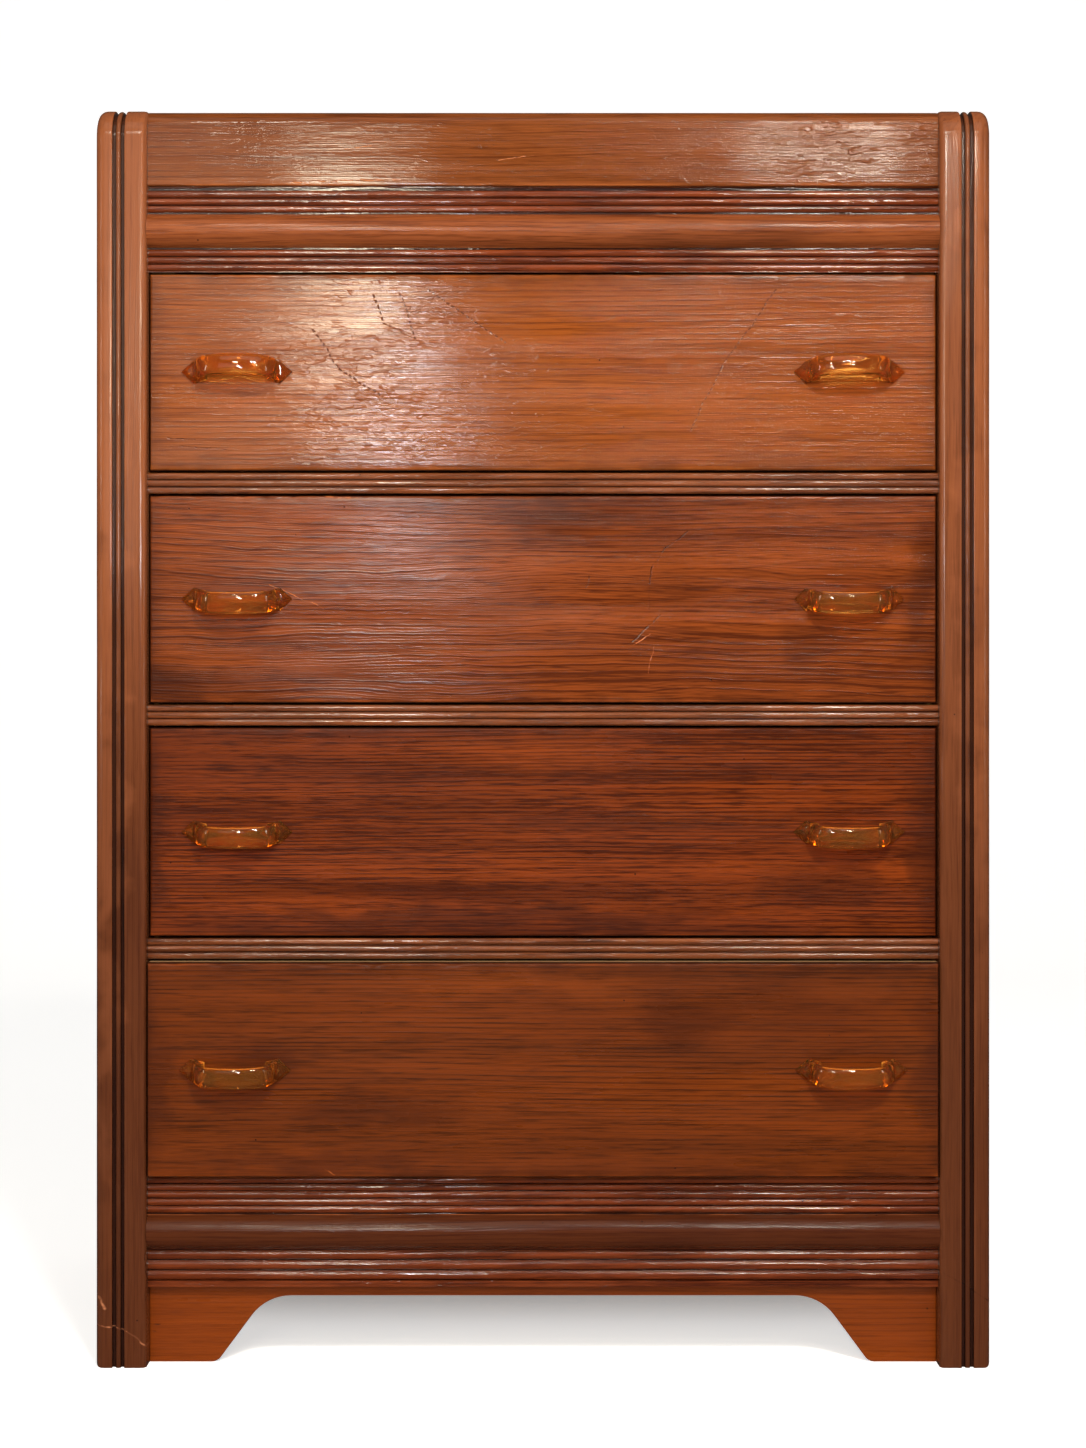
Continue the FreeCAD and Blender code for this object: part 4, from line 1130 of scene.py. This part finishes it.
def bow_section():
    """The lens-like section: a full outer side and a flatter inner one."""
    rise = np.linspace(-1.0, 1.0, 25)
    lens = np.sqrt(1.0 - rise ** 2)
    outer = np.stack([BOW_INSIDE + (BOW_CREST - BOW_INSIDE) * lens ** 0.9, BOW_HALF_HEIGHT * rise], axis=1)
    inner = np.stack([BOW_INSIDE - 0.8 * lens, BOW_HALF_HEIGHT * rise], axis=1)[-2:0:-1]
    return np.vstack([outer, inner])


def bow_grid():
    """Points of the bow: its section at stations along the middle line, then leant down."""
    apex = (PULL_REACH - FURTHEST * math.sin(LEAN)) / math.cos(LEAN) - BOW_CREST
    crown_radius = (HALF_BOW - BOW_CORNER * (1 - math.sin(CROWN))) / math.sin(CROWN)
    leg = apex - BOW_CORNER * math.cos(CROWN) - crown_radius * (1 - math.cos(CROWN))
    corner = HALF_BOW - BOW_CORNER
    section = bow_section()
    first = math.radians(186)
    bend = 3 * math.pi / 2 - CROWN
    turns = [(a, BOW_CORNER, -corner, -leg) for a in np.linspace(first, bend, 20)]
    turns += [(a, crown_radius, 0.0, crown_radius - apex) for a in np.linspace(bend, bend + 2 * CROWN, 16)[1:]]
    turns += [(a, BOW_CORNER, corner, -leg) for a in np.linspace(bend + 2 * CROWN, 3 * math.pi - first, 20)[1:]]
    rows = []
    for angle, radius, x, y in turns:
        out = radius + section[:, 0]
        rows.append(grid_of(x + out * math.cos(angle), y + out * math.sin(angle), section[:, 1]))
    grid = np.array(rows)
    y, z = grid[..., 1].copy(), grid[..., 2].copy()
    grid[..., 1] = y * math.cos(LEAN) - z * math.sin(LEAN)
    grid[..., 2] = y * math.sin(LEAN) + z * math.cos(LEAN)
    return grid


def foot_grid(side):
    """Points of one foot: a five-cornered arrowhead, straight at its rim, then drawn in to a flat."""
    corners = np.array([(50.8, 0.0), (39.3, 10.7), (27.3, 7.5), (27.3, -7.5), (39.3, -10.7)])
    rings = []
    for depth, share in ((0.0, 1.0), (-1.2, 1.0), (-7.0, 0.55)):
        x = HALF_SCREWS + (corners[:, 0] - HALF_SCREWS) * share
        rings.append(grid_of(side * x, depth, corners[:, 1] * share))
    return np.array(rings)


# %% Joined pull
def pull_mesh():
    """Bow and feet joined into one closed surface."""
    bow = new_object("bow", grid_mesh("bow", bow_grid()))
    feet = [new_object(f"foot_{side}", grid_mesh(f"foot_{side}", foot_grid(side))) for side in (-1, 1)]
    for foot in feet:
        soften(foot, 0.45)
        union = bow.modifiers.new("join", "BOOLEAN")
        union.operation = "UNION"
        union.solver = "EXACT"
        union.object = foot
    bpy.context.view_layer.update()
    shape = bpy.data.meshes.new_from_object(bow.evaluated_get(bpy.context.evaluated_depsgraph_get()))
    for thing in [bow, *feet]:
        bpy.data.objects.remove(thing)
    return shape


pull = pull_mesh()
shell = bmesh.new()
shell.from_mesh(pull)
open_edges = sum(1 for edge in shell.edges if not edge.is_manifold)
print("pull", len(pull.polygons), "faces", open_edges, "open edges", round(shell.calc_volume() * 1e9), "mm3")
shell.free()

# %% [markdown]
# ### The screws
# Two brass screws hold each pull, put in from inside the drawer. Through the resin one sees
# their threads glint. A screw is a profile turned about its axis: a domed head inside the
# drawer, a shank through the board and a threaded end in the foot.

# %% Screws and placing
PULL_PLACE = 279.4  # from the middle of a drawer to the middle of each pull


def screw_mesh():
    """A screw along Y: the profile (radius, depth) turned about the axis, with ridges for the thread."""
    profile = [(0.01, 2.6), (1.6, 2.4), (3.1, 1.6), (3.7, 0.4), (3.7, 0.0), (2.0, 0.0), (2.0, -19.0)]
    for ridge in range(8):
        start = -19.5 - ridge * 0.8
        profile += [(1.5, start), (1.95, start - 0.4)]
    profile += [(1.5, -26.1), (0.9, -26.6), (0.01, -26.7)]
    profile = np.array(profile)
    turns = np.linspace(0, 2 * math.pi, 20, endpoint=False)
    radius, depth = profile[:, :1], profile[:, 1:]
    return grid_mesh("screw", grid_of(radius * np.cos(turns), depth, radius * np.sin(turns)))


for number in AJAR:
    body = f"drawer_{number}"
    face = drawer_face(number)
    middle = (drawer_foot[number] + drawer_top[number]) / 2
    turn = -1.0 if number == 1 else 1.0  # the top drawer's pulls were put on the other way up
    for label, side in (("left", -1), ("right", 1)):
        mesh = pull.copy()
        points = np.empty(len(mesh.vertices) * 3)
        mesh.vertices.foreach_get("co", points)
        points = points.reshape(-1, 3) * [turn, 1.0, turn] + np.array([side * PULL_PLACE, face, middle]) * MM
        mesh.vertices.foreach_set("co", points.ravel())
        mesh.update()
        finish_piece(f"pull_{number}_{label}", mesh, "amber", body, f"{body}_{label}_handle", crease=26.0)
        for end, way in (("outer", 1), ("inner", -1)):
            mesh = screw_mesh()
            spot = (side * (PULL_PLACE + way * HALF_SCREWS), face + FRONT_THICKNESS, middle)
            mesh.transform(Matrix.Translation(Vector(spot) * MM))
            finish_piece(f"screw_{number}_{label}_{end}", mesh, "brass", body)
print("pulls and screws placed")

# %% [markdown]
# ## Floor and backdrop
# A pale sheet runs under the dresser and up behind it. To the camera it shines by itself, so
# that it goes white, but less so under the case, where the photograph has a soft grey shadow.

# %% Sheet
SHEET_GLOW = 0.60
SHADOW = 0.32  # how much of the glow is missing under the case
SHEET_HALF, SHEET_NEAR, SHEET_BEND, SHEET_CURVE, SHEET_TOP = 8.0, -6.0, 3.0, 1.5, 6.0  # metres

sheet_material = bpy.data.materials.new("pale_sheet")
g = clear_tree(sheet_material)
place = g.place()
paper = g.mix(g.noise(place, 240.0), rgb(246, 246, 246), rgb(252, 252, 252))
seen = g.add("ShaderNodeLightPath").outputs["Is Camera Ray"]
parts = g.axes(place)
under = g.times(
    g.ramp(g.maths("ABSOLUTE", parts["X"]), 0.34, 0.46, 1.0, 0.0), g.ramp(parts["Y"], -0.10, 0.07),
    g.ramp(parts["Y"], 0.1, 0.3, 1.0, 0.0),
)
glow = g.times(seen, g.sum(SHEET_GLOW, g.times(under, -SHADOW)))
g.finish(g.add("ShaderNodeBsdfPrincipled", {
    "Base Color": paper, "Roughness": 0.9, "Specular IOR Level": 0.1,
    "Emission Color": (1.0, 1.0, 1.0, 1.0), "Emission Strength": glow,
}))

curve = np.linspace(0, math.pi / 2, 13)[1:]
bend = [(SHEET_BEND + SHEET_CURVE * math.sin(a), SHEET_CURVE * (1 - math.cos(a))) for a in curve]
sheet_path = [(SHEET_NEAR, 0.0), (SHEET_BEND, 0.0), *bend, (SHEET_BEND + SHEET_CURVE, SHEET_TOP)]
points = [(side * SHEET_HALF, y, z) for y, z in sheet_path for side in (-1, 1)]
faces = [(2 * k, 2 * k + 1, 2 * k + 3, 2 * k + 2) for k in range(len(sheet_path) - 1)]
sheet_mesh = bpy.data.meshes.new("pale_sheet")
sheet_mesh.from_pydata(points, [], faces)
sheet_mesh.shade_smooth()
sheet_mesh.materials.append(sheet_material)
sheet = new_object("pale_sheet", sheet_mesh)
sheet.visible_glossy = False
print("sheet", len(faces), "faces")

# %% [markdown]
# ## Light
# A ceiling lamp and a wide fill light the front and leave no glare of their own. The others
# stand for the lamps, windows and walls of the room. Most hang in the plane of the camera,
# each where its reflection falls on the varnish: the windows make the glare on the two upper
# drawers, the right lamp shines on the board over them, and the high lamps on the half round.

# %% Lights
world = bpy.data.worlds.new("room")
bpy.context.scene.world = world
g = clear_tree(world)
paths = g.add("ShaderNodeLightPath").outputs
strength = g.sum(g.ramp(paths["Is Camera Ray"], 0.0, 1.0, 0.30, 1.0), g.times(paths["Is Glossy Ray"], -0.25))
light = g.add("ShaderNodeBackground", {"Color": (1.0, 0.98, 0.95, 1.0), "Strength": strength})
g.finish(light, kind="World")


def softbox(name, place, target, size, power, colour, glossy=True):
    """A rectangular soft light that looks at a point."""
    data = bpy.data.lights.new(name, "AREA")
    data.shape = "RECTANGLE"
    data.size, data.size_y = size
    data.energy = power
    data.color = colour
    lamp = new_object(name, data)
    lamp.location = place
    lamp.rotation_euler = (Vector(target) - Vector(place)).to_track_quat("-Z", "Y").to_euler()
    lamp.visible_glossy = glossy


softbox("ceiling_lamp", (0.35, -2.1, 2.25), (0, 0, 0.5), (0.26, 0.20), 37.5, (1.0, 0.95, 0.88), glossy=False)
softbox("overhead", (0.0, -1.6, 3.0), (0, 0, 0.5), (2.4, 1.2), 7.5, (1.0, 0.92, 0.80))
softbox("bulb_right", (0.42, -2.1, 2.2), (0.2, -0.2, 0.8), (0.07, 0.07), 1.6, (1.0, 0.96, 0.90))
softbox("bulb_left", (0.18, -2.1, 2.2), (0.2, -0.2, 0.8), (0.05, 0.05), 1.0, (1.0, 0.97, 0.93))
softbox("left_lamp_high", (-0.52, -2.31, 2.15), (-0.2, -0.2, 0.6), (0.24, 0.12), 5.5, (1.0, 0.92, 0.76))
softbox("right_lamp_high", (0.54, -2.31, 2.15), (0.2, -0.2, 0.6), (0.26, 0.12), 7.5, (1.0, 0.92, 0.76))
softbox("left_window", (-0.355, -2.31, 1.27), (-0.1, -0.2, 0.9), (0.12, 0.36), 5.2, (1.0, 0.90, 0.67))
softbox("left_window_low", (-0.27, -2.31, 0.93), (-0.1, -0.2, 0.8), (0.10, 0.12), 3.0, (0.94, 0.96, 1.0))
softbox("left_wall", (-0.80, -2.31, 1.38), (-0.3, -0.2, 0.9), (0.80, 0.90), 1.4, (1.0, 0.97, 0.88))
softbox("right_lamp", (0.53, -2.31, 1.63), (0.2, -0.2, 1.0), (0.20, 0.06), 4.6, (1.0, 0.92, 0.76))
softbox("left_side", (-2.5, -1.7, 1.1), (0, -0.2, 0.6), (0.12, 1.3), 6.0, (1.0, 0.94, 0.86))
softbox("right_side", (2.5, -1.7, 1.1), (0, -0.2, 0.6), (0.12, 1.3), 5.0, (1.0, 0.94, 0.86))
softbox("front_fill", (0.0, -3.4, 1.2), (0, 0, 0.5), (3.0, 2.4), 10.0, (1.0, 0.97, 0.95), glossy=False)
